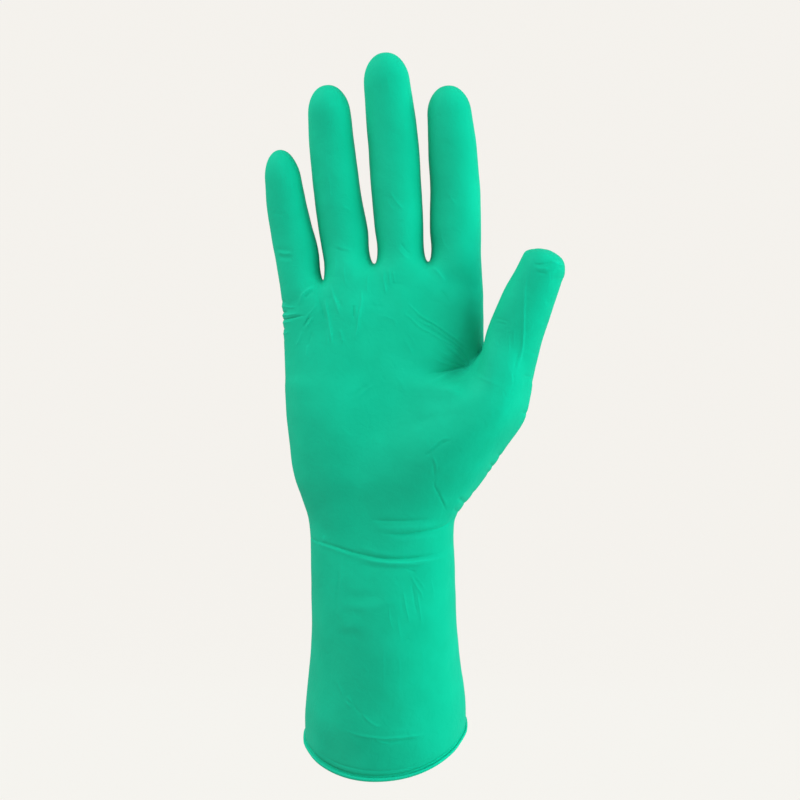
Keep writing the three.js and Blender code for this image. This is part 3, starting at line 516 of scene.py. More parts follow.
    (-0.2, 1.2, 1.2, ((65.9, 173.8), (64.8, 173), (62.8, 172.2))),
    (0.16, 0.5, 0.5, ((49.3, 146.5), (49.7, 143), (50.1, 139))),
    (-0.14, 0.5, 0.5, ((50.3, 145.4), (50.5, 142.2), (50.4, 139))),
    (0.1, 0.45, 0.45, ((52.9, 145.4), (53.7, 140.6), (52.9, 135.9))),
    (0.1, 0.8, 0.8, ((47.4, 128), (48.2, 124.8), (48.6, 121.7))),
    # ball of the thumb
    (-0.26, 0.45, 0.5, (
        (13, 112.7), (15, 112.3), (17.4, 113.4), (20, 115.6), (23.2, 117.6), (28, 118.8),
    )),
    (0.2, 0.5, 0.4, ((15, 113.8), (17.5, 114.8), (20.4, 117.4), (22.7, 118.8), (26, 120.1))),
    (0.18, 0.4, 0.4, ((18, 113.2), (19.5, 109.7), (20.3, 105.7))),
    (-0.18, 0.4, 0.4, ((18.1, 111.4), (18.9, 107.4), (18.9, 103.5))),
    (-0.28, 0.4, 0.4, ((18.9, 104.3), (19.2, 100.1), (20.9, 96.9), (22.7, 92.9), (24.6, 88.9))),
    (0.12, 0.6, 0.6, ((20.7, 98.8), (22.5, 95.2), (24.5, 91.6))),
    (0.12, 0.5, 0.5, ((20.1, 107.3), (23.7, 108))),
    (-0.2, 1.4, 1.4, (
        (9.1, 125.5), (12.2, 125.6), (14.6, 126.2), (20.1, 128), (25.6, 129), (30, 130.4),
    )),
    (0.14, 1.2, 1.2, ((9.1, 122.5), (12.6, 122.5), (15.8, 123.6))),
    (0.08, 0.5, 0.5, ((15.4, 120.1), (16.6, 116.9), (16.2, 113.8))),
    # bumps down the right side, below the thumb
    (-0.3, 0.8, 0.8, ((52.9, 129.6), (54.9, 129.2), (57.6, 128.8))),
    (-0.35, 0.8, 0.8, ((43.4, 113.8), (45.8, 111.5), (48.2, 111))),
    (-0.35, 0.8, 0.8, ((40.3, 109.8), (42.5, 107.8), (44.6, 106.7))),
    (-0.3, 0.8, 0.8, ((38.7, 106.7), (40.9, 105.1), (42.6, 103.9))),
    (-0.3, 0.9, 0.9, ((33.2, 99.1), (35.5, 96.9), (37.9, 95.6))),
    (-0.4, 0.9, 0.9, ((27.6, 96.4), (30.4, 94), (33.2, 92))),
    (-0.3, 0.8, 0.8, ((26, 91.6), (28, 90.1), (30.4, 88.5))),
    (-0.25, 0.7, 0.7, ((54.1, 144.6), (55.7, 143.6), (58, 143.4))),
    (-0.2, 0.7, 0.7, ((56.9, 153.3), (58.4, 152.6), (60.4, 152.5))),
    (-0.2, 0.7, 0.7, ((60.8, 165.1), (62.4, 164.9), (64.4, 164.7))),
)
# Folds behind, as seen from the back: at the wrist, the finger joints and the knuckles.
BACK_FOLDS = (
    (-0.9, 0.9, 0.6, ((-30, 81), (-18, 79.4), (-4, 80.2), (10, 79.2), (27, 82))),
    (0.6, 0.7, 1.1, ((-29, 78.8), (-18, 77.2), (-4, 78), (10, 77), (26, 79.8))),
    (-0.5, 0.8, 0.6, ((-24, 87.5), (-12, 85.8), (4, 86.6), (18, 88.4))),
    (0.35, 0.9, 0.9, ((-20, 84.6), (-10, 83.4), (4, 84), (16, 85.4))),
    (0.3, 0.8, 0.8, ((-14, 92), (0, 90.6), (14, 92.4))),
    (0.15, 0.6, 0.6, ((-21, 73), (-17, 62), (-19, 46))),
    (-0.1, 0.6, 0.6, ((-17.5, 72), (-14.5, 64), (-15, 54))),
    (0.13, 0.6, 0.6, ((8, 73), (11, 60), (7, 41))),
    (0.16, 0.5, 0.5, ((11, 66), (14, 58), (14.5, 50))),
    (0.26, 0.8, 0.6, ((-26, 42), (-12, 38.5), (4, 39.5))),
    (0.26, 0.6, 0.6, ((18, 32), (8, 20), (-6, 14))),
    (-0.2, 0.6, 0.8, ((16, 27), (7, 17.5), (-5, 11.5))),
    (0.3, 0.6, 0.6, ((-20, 166), (-21.5, 152), (-19, 138))),
    (0.2, 0.5, 0.5, ((-23.5, 164), (-25, 153), (-24, 143))),
    (0.3, 0.6, 0.6, ((-2, 170), (-3, 154), (-1, 138))),
    (0.2, 0.5, 0.5, ((1.5, 168), (2, 156), (1, 146))),
    (0.3, 0.6, 0.6, ((18, 168), (18.5, 152), (15, 138))),
    (0.2, 0.5, 0.5, ((15, 166), (14.6, 156), (12, 147))),
    (0.2, 0.8, 0.8, ((34, 150), (28, 136), (24, 118))),
    (-0.2, 0.8, 0.8, ((38, 136), (33, 122), (27, 108))),
    (0.2, 0.6, 0.6, ((40, 152), (44, 140), (43, 128))),
)
# Creases across the back of each finger: the middle of the joint and half its width. Then its three wrinkles:
# how far above the middle each is, how high it stands out, and its share of the width.
JOINT_CREASES = rows(
    "x z wide",
    (-35.8, 195, 5.5),
    (-17.4, 205.5, 6.5),
    (4.8, 208, 7),
    (26.9, 205, 7),
    (-39.6, 214, 4.5),
    (-21.4, 235, 5.5),
    (2.4, 242, 6),
    (25.6, 234.5, 6),
)
JOINT_WRINKLES = ((-2.6, -0.35, 0.75), (0, -0.5, 1), (2.6, -0.35, 0.8))
WRINKLE_REACH = 0.8
WRINKLE_CLOSE = 0.75  # how much of a wrinkle's height above the middle is left at its ends

# Slight unevenness of the film: the direction of each wave, its length, height and phase.
RIPPLES = rows(
    "x y z length height phase",
    (0.9, 0.3, 0.5, 31, 0.09, 0.3),
    (-0.4, 0.8, 0.7, 23, 0.07, 1.9),
    (0.5, -0.6, 0.8, 15, 0.04, 4.1),
    (-0.8, -0.2, 0.9, 9, 0.016, 2.7),
    (0.7, 0.7, -0.4, 6, 0.01, 5.5),
)

# The film's finish: how strongly and in what tint it reflects, then noise whose scale is per metre and bumps
# whose distance is in metres.
FILM_IOR = 1.45
FILM_SHINE = 0.12
FILM_SHINE_TINT = (0.02, 0.9, 0.68, 1)
MOTTLE = dict(Scale=70, Detail=3)  # soft patches, turned into a share of the colour
MOTTLE_RANGE = {"From Min": 0.3, "From Max": 0.7, "To Min": 0.955, "To Max": 1.045}
CRINKLE = dict(Scale=260, Detail=4, Distortion=0.6)
CRINKLE_BUMP = dict(Strength=0.45, Distance=0.0004)
GRAIN = dict(Scale=1400, Detail=2)
GRAIN_BUMP = dict(Strength=0.2, Distance=0.0001)
FOLD_RANGE = {"From Min": -1.0, "From Max": 1.0}  # heights of folds in mm, from the painted crease shade in the valleys to the crest colour, part stretched film and part painted highlight

# Soft lights round the glove: azimuth to the right of the camera and rise, in degrees, power and colour. The
# bounce light is a red one that comes up from low on the left.
LIGHTS = (
    ("key_light", 80, 20, 16.9, 0.0, 0.96, 1.0),
    ("low_light", 55, -10, 10.7, 0.0, 1.0, 0.9),
    ("fill_light", -70, 50, 17.6, 0.45, 1.0, 0.97),
    ("front_light", 5, 20, 8.4, 0.3, 0.23, 0.33),
    ("bounce_light", -65, -35, 6.5, 1.0, 0.0, 0.0),
)
LIGHT_SIZE = 0.8  # in metres, as are their distance and the point that they face
LIGHT_DISTANCE = 1.5
LIGHT_TARGET = np.array([0.005, -0.02, 0.13])
WORLD_COLOUR = (0.47, 1, 0.94, 1)
PAPER = 0.01  # share of light that the backdrop scatters, beside its glow
PAPER_ROUGHNESS = 0.9
PAPER_SHINE = 0.1

# The bowl of floor and backdrop, in metres: the quarter circle's radius, the height of the rim above the
# floor, the first ring of the floor, and how many rings there are and points round each.
BOWL_BEND = 0.9
BOWL_RIM = 2.6
BOWL_CENTRE = 0.05  # of the floor's radius
BOWL_FLAT_RINGS = 8
BOWL_BEND_RINGS = 12
BOWL_AROUND = 96
SENSOR = 36  # width of the camera's sensor in mm
CLIP = (0.05, 30)


def mix(a, b, t):
    """What lies at share t of the way from a to b."""
    return a + (b - a) * t


def ease(t):
    """A smooth step from 0 to 1."""
    t = np.clip(t, 0, 1)
    return t * t * (3 - 2 * t)


def column(table, key, z):
    """One column of a table at heights z: a monotone cubic through its rows, straight past its ends."""
    at, value = table["z"], table[key]
    slope = np.diff(value) / np.diff(at)
    product = slope[:-1] * slope[1:]
    safe = np.where(product > 0, slope[:-1] + slope[1:], 1)
    tangent = np.concatenate([slope[:1], np.where(product > 0, 2 * product / safe, 0), slope[-1:]])
    i = np.clip(np.searchsorted(at, z, side="right") - 1, 0, len(at) - 2)
    span = at[i + 1] - at[i]
    t = np.clip((z - at[i]) / span, 0, 1)
    past = z - at[i] - span * t
    edge = np.where(past < 0, tangent[0], tangent[-1])
    cubic = (
        (2 * t**3 - 3 * t**2 + 1) * value[i]
        + (t**3 - 2 * t**2 + t) * span * tangent[i]
        + (3 * t**2 - 2 * t**3) * value[i + 1]
        + (t**3 - t**2) * span * tangent[i + 1]
    )
    return cubic + past * edge


def section(table, z):
    """The section's sizes at heights z, with its slant, its middle and its half width."""
    found = {key: column(table, key, z) for key in table if key != "z"}
    found.update({key: column(SLANTS, key, z) for key in SLANTS if key != "z"})
    found.update({key: column(FORWARD, key, z) for key in FORWARD if key != "z"})
    found["z"] = z
    found["middle"] = (found["left"] + found["right"]) / 2
    found["half"] = (found["right"] - found["left"]) / 2
    return found


def middle_depth(s, x, out):
    """The depth of the line between a section's sides: level over the palm, and forward under the thumb."""
    start = np.where(out < 0, s["start"], FORWARD_BACK[0])
    end = np.where(out < 0, s["end"], FORWARD_BACK[1])
    return mix(s["mid_left"], s["mid_right"], ease((x / s["right"] - start) / (end - start)))


def mounds(out, x, z):
    """The sum of the bell-shaped mounds in front (out -1) or behind (out 1)."""
    total = 0
    for side, mx, mz, reach_x, reach_z, height in zip(*MOUNDS.values()):
        if side == out:
            total = total + height * np.exp(-(((x - mx) / reach_x) ** 2) - ((z - mz) / reach_z) ** 2)
    return total


def lift(s, place):
    """How far an outline stands above its sides, for a place from -1, the front, to 1, the back."""
    return (s["rise"] + s["dip"]) / 2 * place + (s["rise"] - s["dip"]) / 2 * place**2


def face_points(s, x, out):
    """Points at x on the front (out -1) or back (out 1): depth is a superellipse of the place across."""
    across = np.clip(np.abs(x - s["middle"]) / s["half"], 0, 1)
    full = (1 - across ** s["square"]) ** (1 / s["square"])
    depth = s["front"] if out < 0 else s["back"]
    z = s["z"] + lift(s, out * full) + s["skew"] * x
    y = middle_depth(s, x, out) + out * (depth + mounds(out, x, z)) * full
    return np.stack([x, y, z], -1)


def side_points(s, side, share):
    """Points on the left (side -1) or right side, at a depth of share times SIDE_DEPTH."""
    depth = np.where(share < 0, s["front"], s["back"])
    full = np.abs(share) * SIDE_DEPTH / depth
    across = (1 - full ** s["square"]) ** (1 / s["square"])
    x = s["middle"] + side * s["half"] * across
    y = middle_depth(s, x, share) + share * SIDE_DEPTH
    return np.stack([x, y, s["z"] + lift(s, np.sign(share) * full) + s["skew"] * x], -1)


class Ring:
    """How a ring round the glove is laid out, from its left front corner anticlockwise seen from above."""

    def __init__(self, strips):
        edges = strips * STRIP
        inside = np.arange(1, edges) / STRIP
        self.weights = np.clip(1 - np.abs(inside[:, None] - np.arange(strips + 1)), 0, None)
        self.side = np.linspace(-1, 1, SIDE + 1)
        self.edges = edges
        self.size = 2 * edges + 2 * SIDE

    def points(self, table, z, seams, seams_behind):
        """Points of rings whose heights are z, an array of rings by points of a ring."""
        parts = np.split(z, np.cumsum([self.edges, SIDE + 1, self.edges - 1]), axis=1)
        corner, front = parts[0][:, :1], parts[0][:, 1:]
        made = [side_points(section(table, corner), -1, -np.ones(1))]
        made.append(self.face(table, front, seams, self.weights, -1))
        made.append(side_points(section(table, parts[1]), 1, self.side))
        made.append(self.face(table, parts[2], seams_behind, self.weights[::-1], 1))
        made.append(side_points(section(table, parts[3]), -1, self.side[:0:-1]))
        return np.concatenate(made, 1)

    def face(self, table, z, seams, weights, out):
        """The points of one face between its corners: evenly spaced in each finger's strip."""
        s = section(table, z)
        marks = [side_points(s, -1, -np.ones(1))[..., 0]]
        marks += [column(SEAMS, key, z) for key in seams]
        marks += [side_points(s, 1, -np.ones(1))[..., 0]]
        x = sum(weights[:, i] * mark for i, mark in enumerate(marks))
        return face_points(s, x, out)


class Cage:
    """Points and four-sided faces, put together from rings that share their ends."""

    def __init__(self):
        self.points = np.zeros((0, 3))
        self.faces = np.zeros((0, 4), int)
        self.web = np.zeros(0, int)

    def add(self, grid):
        """Adds an array of points and returns their numbers in the same arrangement."""
        first = len(self.points)
        self.points = np.vstack([self.points, grid.reshape(-1, 3)])
        return first + np.arange(grid.size // 3).reshape(grid.shape[:-1])

    def add_web(self, arch):
        """Adds an arch of film between two fingers and notes its points as a web's."""
        numbers = self.add(arch)
        self.web = np.append(self.web, numbers)
        return numbers

    def skin(self, rings):
        """Faces between each ring of numbers and the next one up."""
        low, high = rings[:-1], rings[1:]
        quads = np.stack([low, np.roll(low, -1, 1), np.roll(high, -1, 1), high], -1)
        self.faces = np.vstack([self.faces, quads.reshape(-1, 4)])

    def patch(self, grid):
        """Faces on a grid of numbers."""
        quads = np.stack([grid[:-1, :-1], grid[:-1, 1:], grid[1:, 1:], grid[1:, :-1]], -1)
        self.faces = np.vstack([self.faces, quads.reshape(-1, 4)])


def split_ring(ring, strips, web):
    """The ring left of a web and the ring right of it, which share the web."""
    front = strips * STRIP
    back = len(ring) - SIDE - front
    left = np.concatenate([ring[: front + 1], web, ring[back:]])
    right = np.concatenate([ring[front : back + 1], web[::-1]])
    return left, right


def spline(points, steps):
    """A Catmull-Rom curve through points, with that many steps in each span."""
    padded = np.concatenate([2 * points[:1] - points[1:2], points, 2 * points[-1:] - points[-2:-1]])
    t = (np.arange(steps) / steps)[:, None]
    spans = []
    for a, b, c, d in zip(padded, padded[1:], padded[2:], padded[3:]):
        spans.append(b + 0.5 * t * (c - a + t * (2 * a - 5 * b + 4 * c - d + t * (3 * b - a - 3 * c + d))))
    return np.concatenate([*spans, points[-1:]])


def build_trunk(cage, step):
    """Rings from the hem up to the thumb's root."""
    ring = Ring(FINGERS + 1)
    low, high = TRUNK["z"][0], TRUNK["z"][-1]
    levels = np.linspace(low, high, round((high - low) / step) + 1)
    levels = np.concatenate([levels[:1], low + HEM_ROWS, levels[1:]])
    z = np.repeat(levels[:, None], ring.size, 1)
    grid = ring.points(TRUNK, z, (*FINGER_SEAMS, "thumb"), (*FINGER_SEAMS, "thumb_behind"))
    rings = cage.add(grid)
    cage.skin(rings)
    return rings


def build_palm(cage, root, step):
    """Rings from the thumb's web to the roots of the fingers, whose heights follow the webs."""
    ring = Ring(FINGERS)
    tops = np.array([WEB_TOPS[key] for key in FINGER_SEAMS])
    marks = np.arange(FINGERS + 1)
    across = np.linspace(0, FINGERS, FINGERS * STRIP + 1)
    front = np.interp(across, marks, [OUTER_FRONT[0], *(tops - WEB_FRONT_DROP), OUTER_FRONT[1]])
    back = np.interp(across, marks, [OUTER_BACK[0], *(tops - WEB_BACK_DROP), OUTER_BACK[1]])[::-1]
    turn = np.arange(1, SIDE) / SIDE
    goal = np.concatenate([front, mix(front[-1], back[0], turn), back, mix(back[-1], front[0], turn)])
    steps = round((tops[1] - PALM["z"][0]) / step)
    share = (np.arange(1, steps + 1) / steps)[:, None]
    z = mix(cage.points[root, 2], goal, share)
    rings = cage.add(ring.points(PALM, z, FINGER_SEAMS, FINGER_SEAMS))
    cage.skin(np.vstack([root, rings]))
    return rings[-1]


def build_web(cage, front, back, top):
    """The arch of film between two fingers: two parabolas that meet at its highest point."""
    a, b = cage.points[front], cage.points[back]
    t = np.arange(1, SIDE) / SIDE
    rising = (top - a[2]) * (1 - t / WEB_PEAK) ** 2
    falling = (top - b[2]) * ((t - WEB_PEAK) / (1 - WEB_PEAK)) ** 2
    arch = mix(a, b, t[:, None])
    arch[:, 2] = top - np.where(t < WEB_PEAK, rising, falling)
    return cage.add_web(arch)


def digit_frame(table, z):
    """The centre line of a finger at heights z, and its directions up, right and back."""

    def centre(h):
        return np.stack([column(table, "x", h), column(table, "y", h), h], -1)

    up = centre(z + 0.5) - centre(z - 0.5)
    up /= np.linalg.norm(up, axis=-1, keepdims=True)
    back = np.cross(up, (1.0, 0.0, 0.0))
    back /= np.linalg.norm(back, axis=-1, keepdims=True)
    return centre(z), up, np.cross(back, up), back


def oval(frame_at, right, back, ahead):
    """Points round a centre line: so far to the right, back and ahead."""
    centre, up, across, behind = (v[..., None, :] for v in frame_at)
    return centre + across * right[..., None] + behind * back[..., None] + up * ahead[..., None]


def build_digit(cage, root, digit, step):
    """A finger from the ring at its root: rows that turn from the root's shape to ovals, then its tip."""
    table = digit["rows"]
    first, last = table["z"][0], table["z"][-1]
    sides = len(root)
    angle = np.radians(RING_START + digit["turn"] + 360 * np.arange(sides) / sides)
    steps = round((last - first - ROOT_STEP) / step)
    z = np.linspace(first + ROOT_STEP, last, steps + 1)
    wide, deep = column(table, "wide", z)[:, None], column(table, "deep", z)[:, None]
    ovals = oval(digit_frame(table, z), wide * np.cos(angle), deep * np.sin(angle), np.zeros((len(z), sides)))
    along = digit_frame(table, z)[0] - digit_frame(table, table["z"][:1])[0]
    raised = cage.points[root] + along[:, None]
    blend = ease((z - first + ROOT_STEP) / (digit["blend"] + ROOT_STEP))
    rings = cage.add(mix(raised, ovals, blend[:, None, None]))
    cage.skin(np.vstack([root, rings]))
    close_tip(cage, rings[-1], digit, angle)


def close_tip(cage, root, digit, angle):
    """Half a blunt ellipsoid over a finger's last ring: rings up it, then a square patch over its pole."""
    table, tip, blunt = digit["rows"], digit["tip"], digit["blunt"]
    frame_at = [v[0] for v in digit_frame(table, table["z"][-1:])]
    wide, deep = table["wide"][-1], table["deep"][-1]
    rise = np.radians(TIP_PATCH_ANGLE * np.arange(1, TIP_RINGS + 1) / TIP_RINGS)[:, None]
    size, ahead = np.cos(rise) ** (2 / blunt), tip * np.sin(rise) ** (2 / blunt)
    turned = oval(frame_at, wide * size * np.cos(angle), deep * size * np.sin(angle), ahead + 0 * angle)
    numbers = cage.add(turned)
    cage.skin(np.vstack([root, numbers]))
    ring = numbers[-1]
    u, v = np.meshgrid(np.linspace(-1, 1, STRIP + 1), np.linspace(-1, 1, SIDE + 1))
    out = size[-1, 0] * np.maximum(np.abs(u), np.abs(v))
    wider = np.abs(u) >= np.abs(v)
    ratio = np.where(wider, v, u) / np.where(wider, np.where(u == 0, 1, u), np.where(v == 0, 1, v))
    eighth = math.pi / 4 * ratio
    sideways = np.where(u >= 0, eighth, math.pi + eighth)
    upright = np.where(v > 0, math.pi / 2 - eighth, -math.pi / 2 - eighth)
    around = np.where(wider, sideways, upright) + math.radians(digit["turn"])
    right, back = wide * out * np.cos(around), deep * out * np.sin(around)
    dome = tip * (1 - out**blunt) ** (1 / blunt)
    inner = oval(frame_at, right.ravel(), back.ravel(), dome.ravel())
    grid = np.zeros(u.shape, int)
    grid[1:-1, 1:-1] = cage.add(inner.reshape(*u.shape, 3)[1:-1, 1:-1])
    sides = len(ring)
    grid[0] = ring[: STRIP + 1]
    grid[:, -1] = ring[STRIP : STRIP + SIDE + 1]
    grid[-1] = ring[STRIP + SIDE : 2 * STRIP + SIDE + 1][::-1]
    grid[1:-1, 0] = ring[sides - np.arange(1, SIDE)]
    cage.patch(grid)


def edge_pairs(faces):
    """Both directions of each face's edges, without repeats."""
    pairs = np.stack([faces, np.roll(faces, -1, 1)], -1).reshape(-1, 2)
    return np.unique(np.concatenate([pairs, pairs[:, ::-1]]), axis=0)


def neighbour_mean(values, pairs):
    """The mean of each point's neighbours."""
    total = np.zeros_like(values)
    np.add.at(total, pairs[:, 0], values[pairs[:, 1]])
    count = np.bincount(pairs[:, 0], minlength=len(values))
    return total / count[:, None]


def relax(cage, turns):
    """Lets the points round the webs settle between their neighbours, as stretched film does."""
    pairs = edge_pairs(cage.faces)
    webs = cage.points[cage.web]
    near = np.min(np.linalg.norm(cage.points[:, None] - webs[None], axis=-1), 1)
    freedom = 1 - ease((near - RELAX_NEAR) / (RELAX_FAR - RELAX_NEAR))
    freedom[cage.web] = WEB_FREEDOM
    for _ in range(turns):
        cage.points = mix(cage.points, neighbour_mean(cage.points, pairs), RELAX_SHARE * freedom[:, None])


def point_normals(points, faces):
    """Each point's normal: the sum of its faces' diagonals' cross products."""
    a, b, c, d = (points[faces[:, i]] for i in range(4))
    flat = np.cross(c - a, d - b)
    normals = np.zeros_like(points)
    np.add.at(normals, faces.ravel(), np.repeat(flat, 4, 0))
    return normals / np.maximum(np.linalg.norm(normals, axis=1, keepdims=True), TINY)


def build_cage(sizes):
    """The outer wall's cage: cuff, palm, webs, fingers and thumb. Also returns the hem's ring."""
    step = sizes.row_step / MM
    cage = Cage()
    trunk = build_trunk(cage, step)
    top = trunk[-1]
    cage.points[top[FINGERS * STRIP]] = THUMB_WEB[0]
    cage.points[top[len(top) - SIDE - FINGERS * STRIP]] = THUMB_WEB[-1]
    web = cage.add_web(THUMB_WEB[1:-1])
    palm_root, thumb_root = split_ring(top, FINGERS, web)
    rest = build_palm(cage, palm_root, step)
    build_digit(cage, thumb_root, DIGITS["thumb"], step)
    for key, name in zip(FINGER_SEAMS, DIGITS):
        arch = build_web(cage, rest[STRIP], rest[len(rest) - SIDE - STRIP], WEB_TOPS[key])
        left, rest = split_ring(rest, 1, arch)
        build_digit(cage, left, DIGITS[name], step)
    build_digit(cage, rest, DIGITS["index"], step)
    relax(cage, sizes.relax_turns)
    return cage, trunk[0]


def add_bead(cage, hem, sizes):
    """Rings round the rolled hem: a circle of points carried round the film's lower edge. Returns them."""
    radius = sizes.bead_radius / MM
    normals = point_normals(cage.points, cage.faces)[hem]
    start = cage.points[hem]
    along = np.roll(start, -1, 0) - np.roll(start, 1, 0)
    along /= np.linalg.norm(along, axis=1, keepdims=True)
    out = normals - along * np.sum(normals * along, 1, keepdims=True)
    out /= np.linalg.norm(out, axis=1, keepdims=True)
    down = np.cross(along, out)
    down *= np.where(down[:, 2:] > 0, -1, 1)
    degrees = np.array(BEAD_ANGLES)[:, None, None]
    angle = np.radians(degrees)
    doubled = ease((start[:, :1] - ROLL_GROOVE_FROM) / ROLL_GROOVE_ACROSS)
    doubled = doubled * ease(-start[:, 1:2] / ROLL_GROOVE_AHEAD)
    groove = ROLL_GROOVE * doubled * np.exp(-(((degrees - ROLL_GROOVE_AT) / ROLL_GROOVE_REACH) ** 2))
    radius = radius * (1 - groove)
    aside = radius * np.cos(angle) - sizes.bead_inset / MM
    rings = start + out * aside + down * radius * (BEAD_DROP + np.sin(angle))
    numbers = cage.add(rings)
    cage.skin(np.vstack([numbers[::-1], hem[None]]))
    return numbers


def gather(*groups):
    """Faces with different numbers of corners in one array, whose unused places hold -1."""
    width = max(group.shape[1] for group in groups)
    padded = [np.pad(group, ((0, 0), (0, width - group.shape[1])), constant_values=-1) for group in groups]
    return np.concatenate(padded)


def make_mesh(name, points, faces):
    """A mesh with smooth faces, from points and an array of faces whose unused places hold -1."""
    mesh = bpy.data.meshes.new(name)
    used = faces >= 0
    count = used.sum(1)
    mesh.vertices.add(len(points))
    mesh.vertices.foreach_set("co", np.ascontiguousarray(points, np.float32).ravel())
    mesh.loops.add(int(count.sum()))
    mesh.polygons.add(len(faces))
    mesh.loops.foreach_set("vertex_index", faces[used].astype(np.int32))
    mesh.polygons.foreach_set("loop_start", (np.cumsum(count) - count).astype(np.int32))
    mesh.polygons.foreach_set("use_smooth", np.ones(len(faces), bool))
    mesh.update(calc_edges=True)
    return mesh


def read_mesh(mesh):
    """The points and four-cornered faces of a mesh."""
    points = np.zeros(len(mesh.vertices) * 3, np.float32)
    mesh.vertices.foreach_get("co", points)
    corners = np.zeros(len(mesh.loops), np.int32)
    mesh.loops.foreach_get("vertex_index", corners)
    return points.reshape(-1, 3).astype(float), corners.reshape(-1, 4).astype(int)


def subdivide(points, faces, levels, passes=2):
    """Catmull-Clark subdivision whose surface goes through the cage's own points."""
    held = points.copy()
    for turn in range(passes + 1):
        mesh = make_mesh("cage", held, faces)
        holder = bpy.data.objects.new("cage", mesh)
        bpy.context.scene.collection.objects.link(holder)
        smooth = holder.modifiers.new("smooth", "SUBSURF")
        smooth.levels = smooth.render_levels = levels if turn == passes else 1
        found = holder.evaluated_get(bpy.context.evaluated_depsgraph_get())
        fine, corners = read_mesh(found.to_mesh())
        found.to_mesh_clear()
        bpy.data.objects.remove(holder)
        bpy.data.meshes.remove(mesh)
        if turn < passes:
            held = held + points - fine[: len(points)]
    return fine, corners


class Skin:
    """A fine surface of four-cornered faces with a normal at each point. Faces can be split in four where a
    fold needs it, and a neighbour that stays whole takes the new points into its edges."""

    BASE = 1 << 31  # more than any point's number, so that two numbers fit into one

    def __init__(self, points, faces):
        self.points, self.faces = points, faces
        self.normals = point_normals(points, faces)
        self.split_edges = np.zeros(0, np.int64)
        self.middles = np.zeros(0, np.int64)

    def key(self, a, b):
        """One number for an edge, whichever way round its ends are given."""
        return np.minimum(a, b) * self.BASE + np.maximum(a, b)

    def middle(self, a, b):
        """The number of the point in the middle of each edge, and -1 where the edge isn't split."""
        key = self.key(a, b)
        if not len(self.middles):
            return np.full(key.shape, -1)
        at = np.minimum(np.searchsorted(self.split_edges, key), len(self.middles) - 1)
        return np.where((self.split_edges[at] == key) & (a >= 0) & (b >= 0), self.middles[at], -1)

    def add(self, points, normals):
        """Adds points with their normals and returns their numbers."""
        first = len(self.points)
        normals = normals / np.linalg.norm(normals, axis=-1, keepdims=True)
        self.points = np.vstack([self.points, points])
        self.normals = np.vstack([self.normals, normals])
        return first + np.arange(len(points))

    def split(self, chosen):
        """Splits the chosen faces. An edge's middle lies on a cubic that meets both ends at right angles to
        their normals: (a + b) / 2 + (nb (d.nb) - na (d.na)) / 8 with d = b - a. A face's middle is half the
        sum of its edges' middles less a quarter of the sum of its corners."""
        cut = self.faces[chosen]
        a, b = cut, np.roll(cut, -1, 1)
        fresh = np.unique(self.key(a, b)[self.middle(a, b) < 0])
        low, high = fresh // self.BASE, fresh % self.BASE
        start, end = self.points[low], self.points[high]
        from_start, from_end = self.normals[low], self.normals[high]
        span = end - start
        rise = from_end * np.sum(span * from_end, 1, keepdims=True)
        rise = rise - from_start * np.sum(span * from_start, 1, keepdims=True)
        made = self.add((start + end) / 2 + rise / 8, from_start + from_end)
        edges = np.append(self.split_edges, fresh)
        order = np.argsort(edges)
        self.split_edges, self.middles = edges[order], np.append(self.middles, made)[order]
        middle = self.middle(a, b)
        centre = self.points[middle].sum(1) / 2 - self.points[cut].sum(1) / 4
        centre = self.add(centre, self.normals[middle].sum(1))
        quarters = [np.stack([cut[:, i], middle[:, i], centre, middle[:, i - 1]], -1) for i in range(4)]
        self.faces = np.concatenate([self.faces[~chosen], *quarters])

    def between(self, a, b, depth):
        """The points that lie on edges, from a to b: -1 stands for each that isn't there."""
        half = self.middle(a, b)
        if depth == 1:
            return [half]
        return [*self.between(a, half, depth - 1), half, *self.between(half, b, depth - 1)]

    def polygons(self):
        """The faces with the points that lie on their edges, and -1 in the places left over."""
        a, b = self.faces, np.roll(self.faces, -1, 1)
        corners = np.stack([a, *self.between(a, b, len(SPLITS))], -1).reshape(len(a), -1)
        order = np.argsort(corners < 0, axis=1, kind="stable")
        return np.take_along_axis(corners, order, 1)


def fold_profile(share):
    """The height of a fold at share times its reach from its crest: an exponential of the distance, whose tip
    is rounded off into a hyperbola, exp(FALL (CREST - sqrt(share^2 + CREST^2)))."""
    return np.exp(FOLD_FALL * (FOLD_CREST - np.sqrt(share**2 + FOLD_CREST**2)))


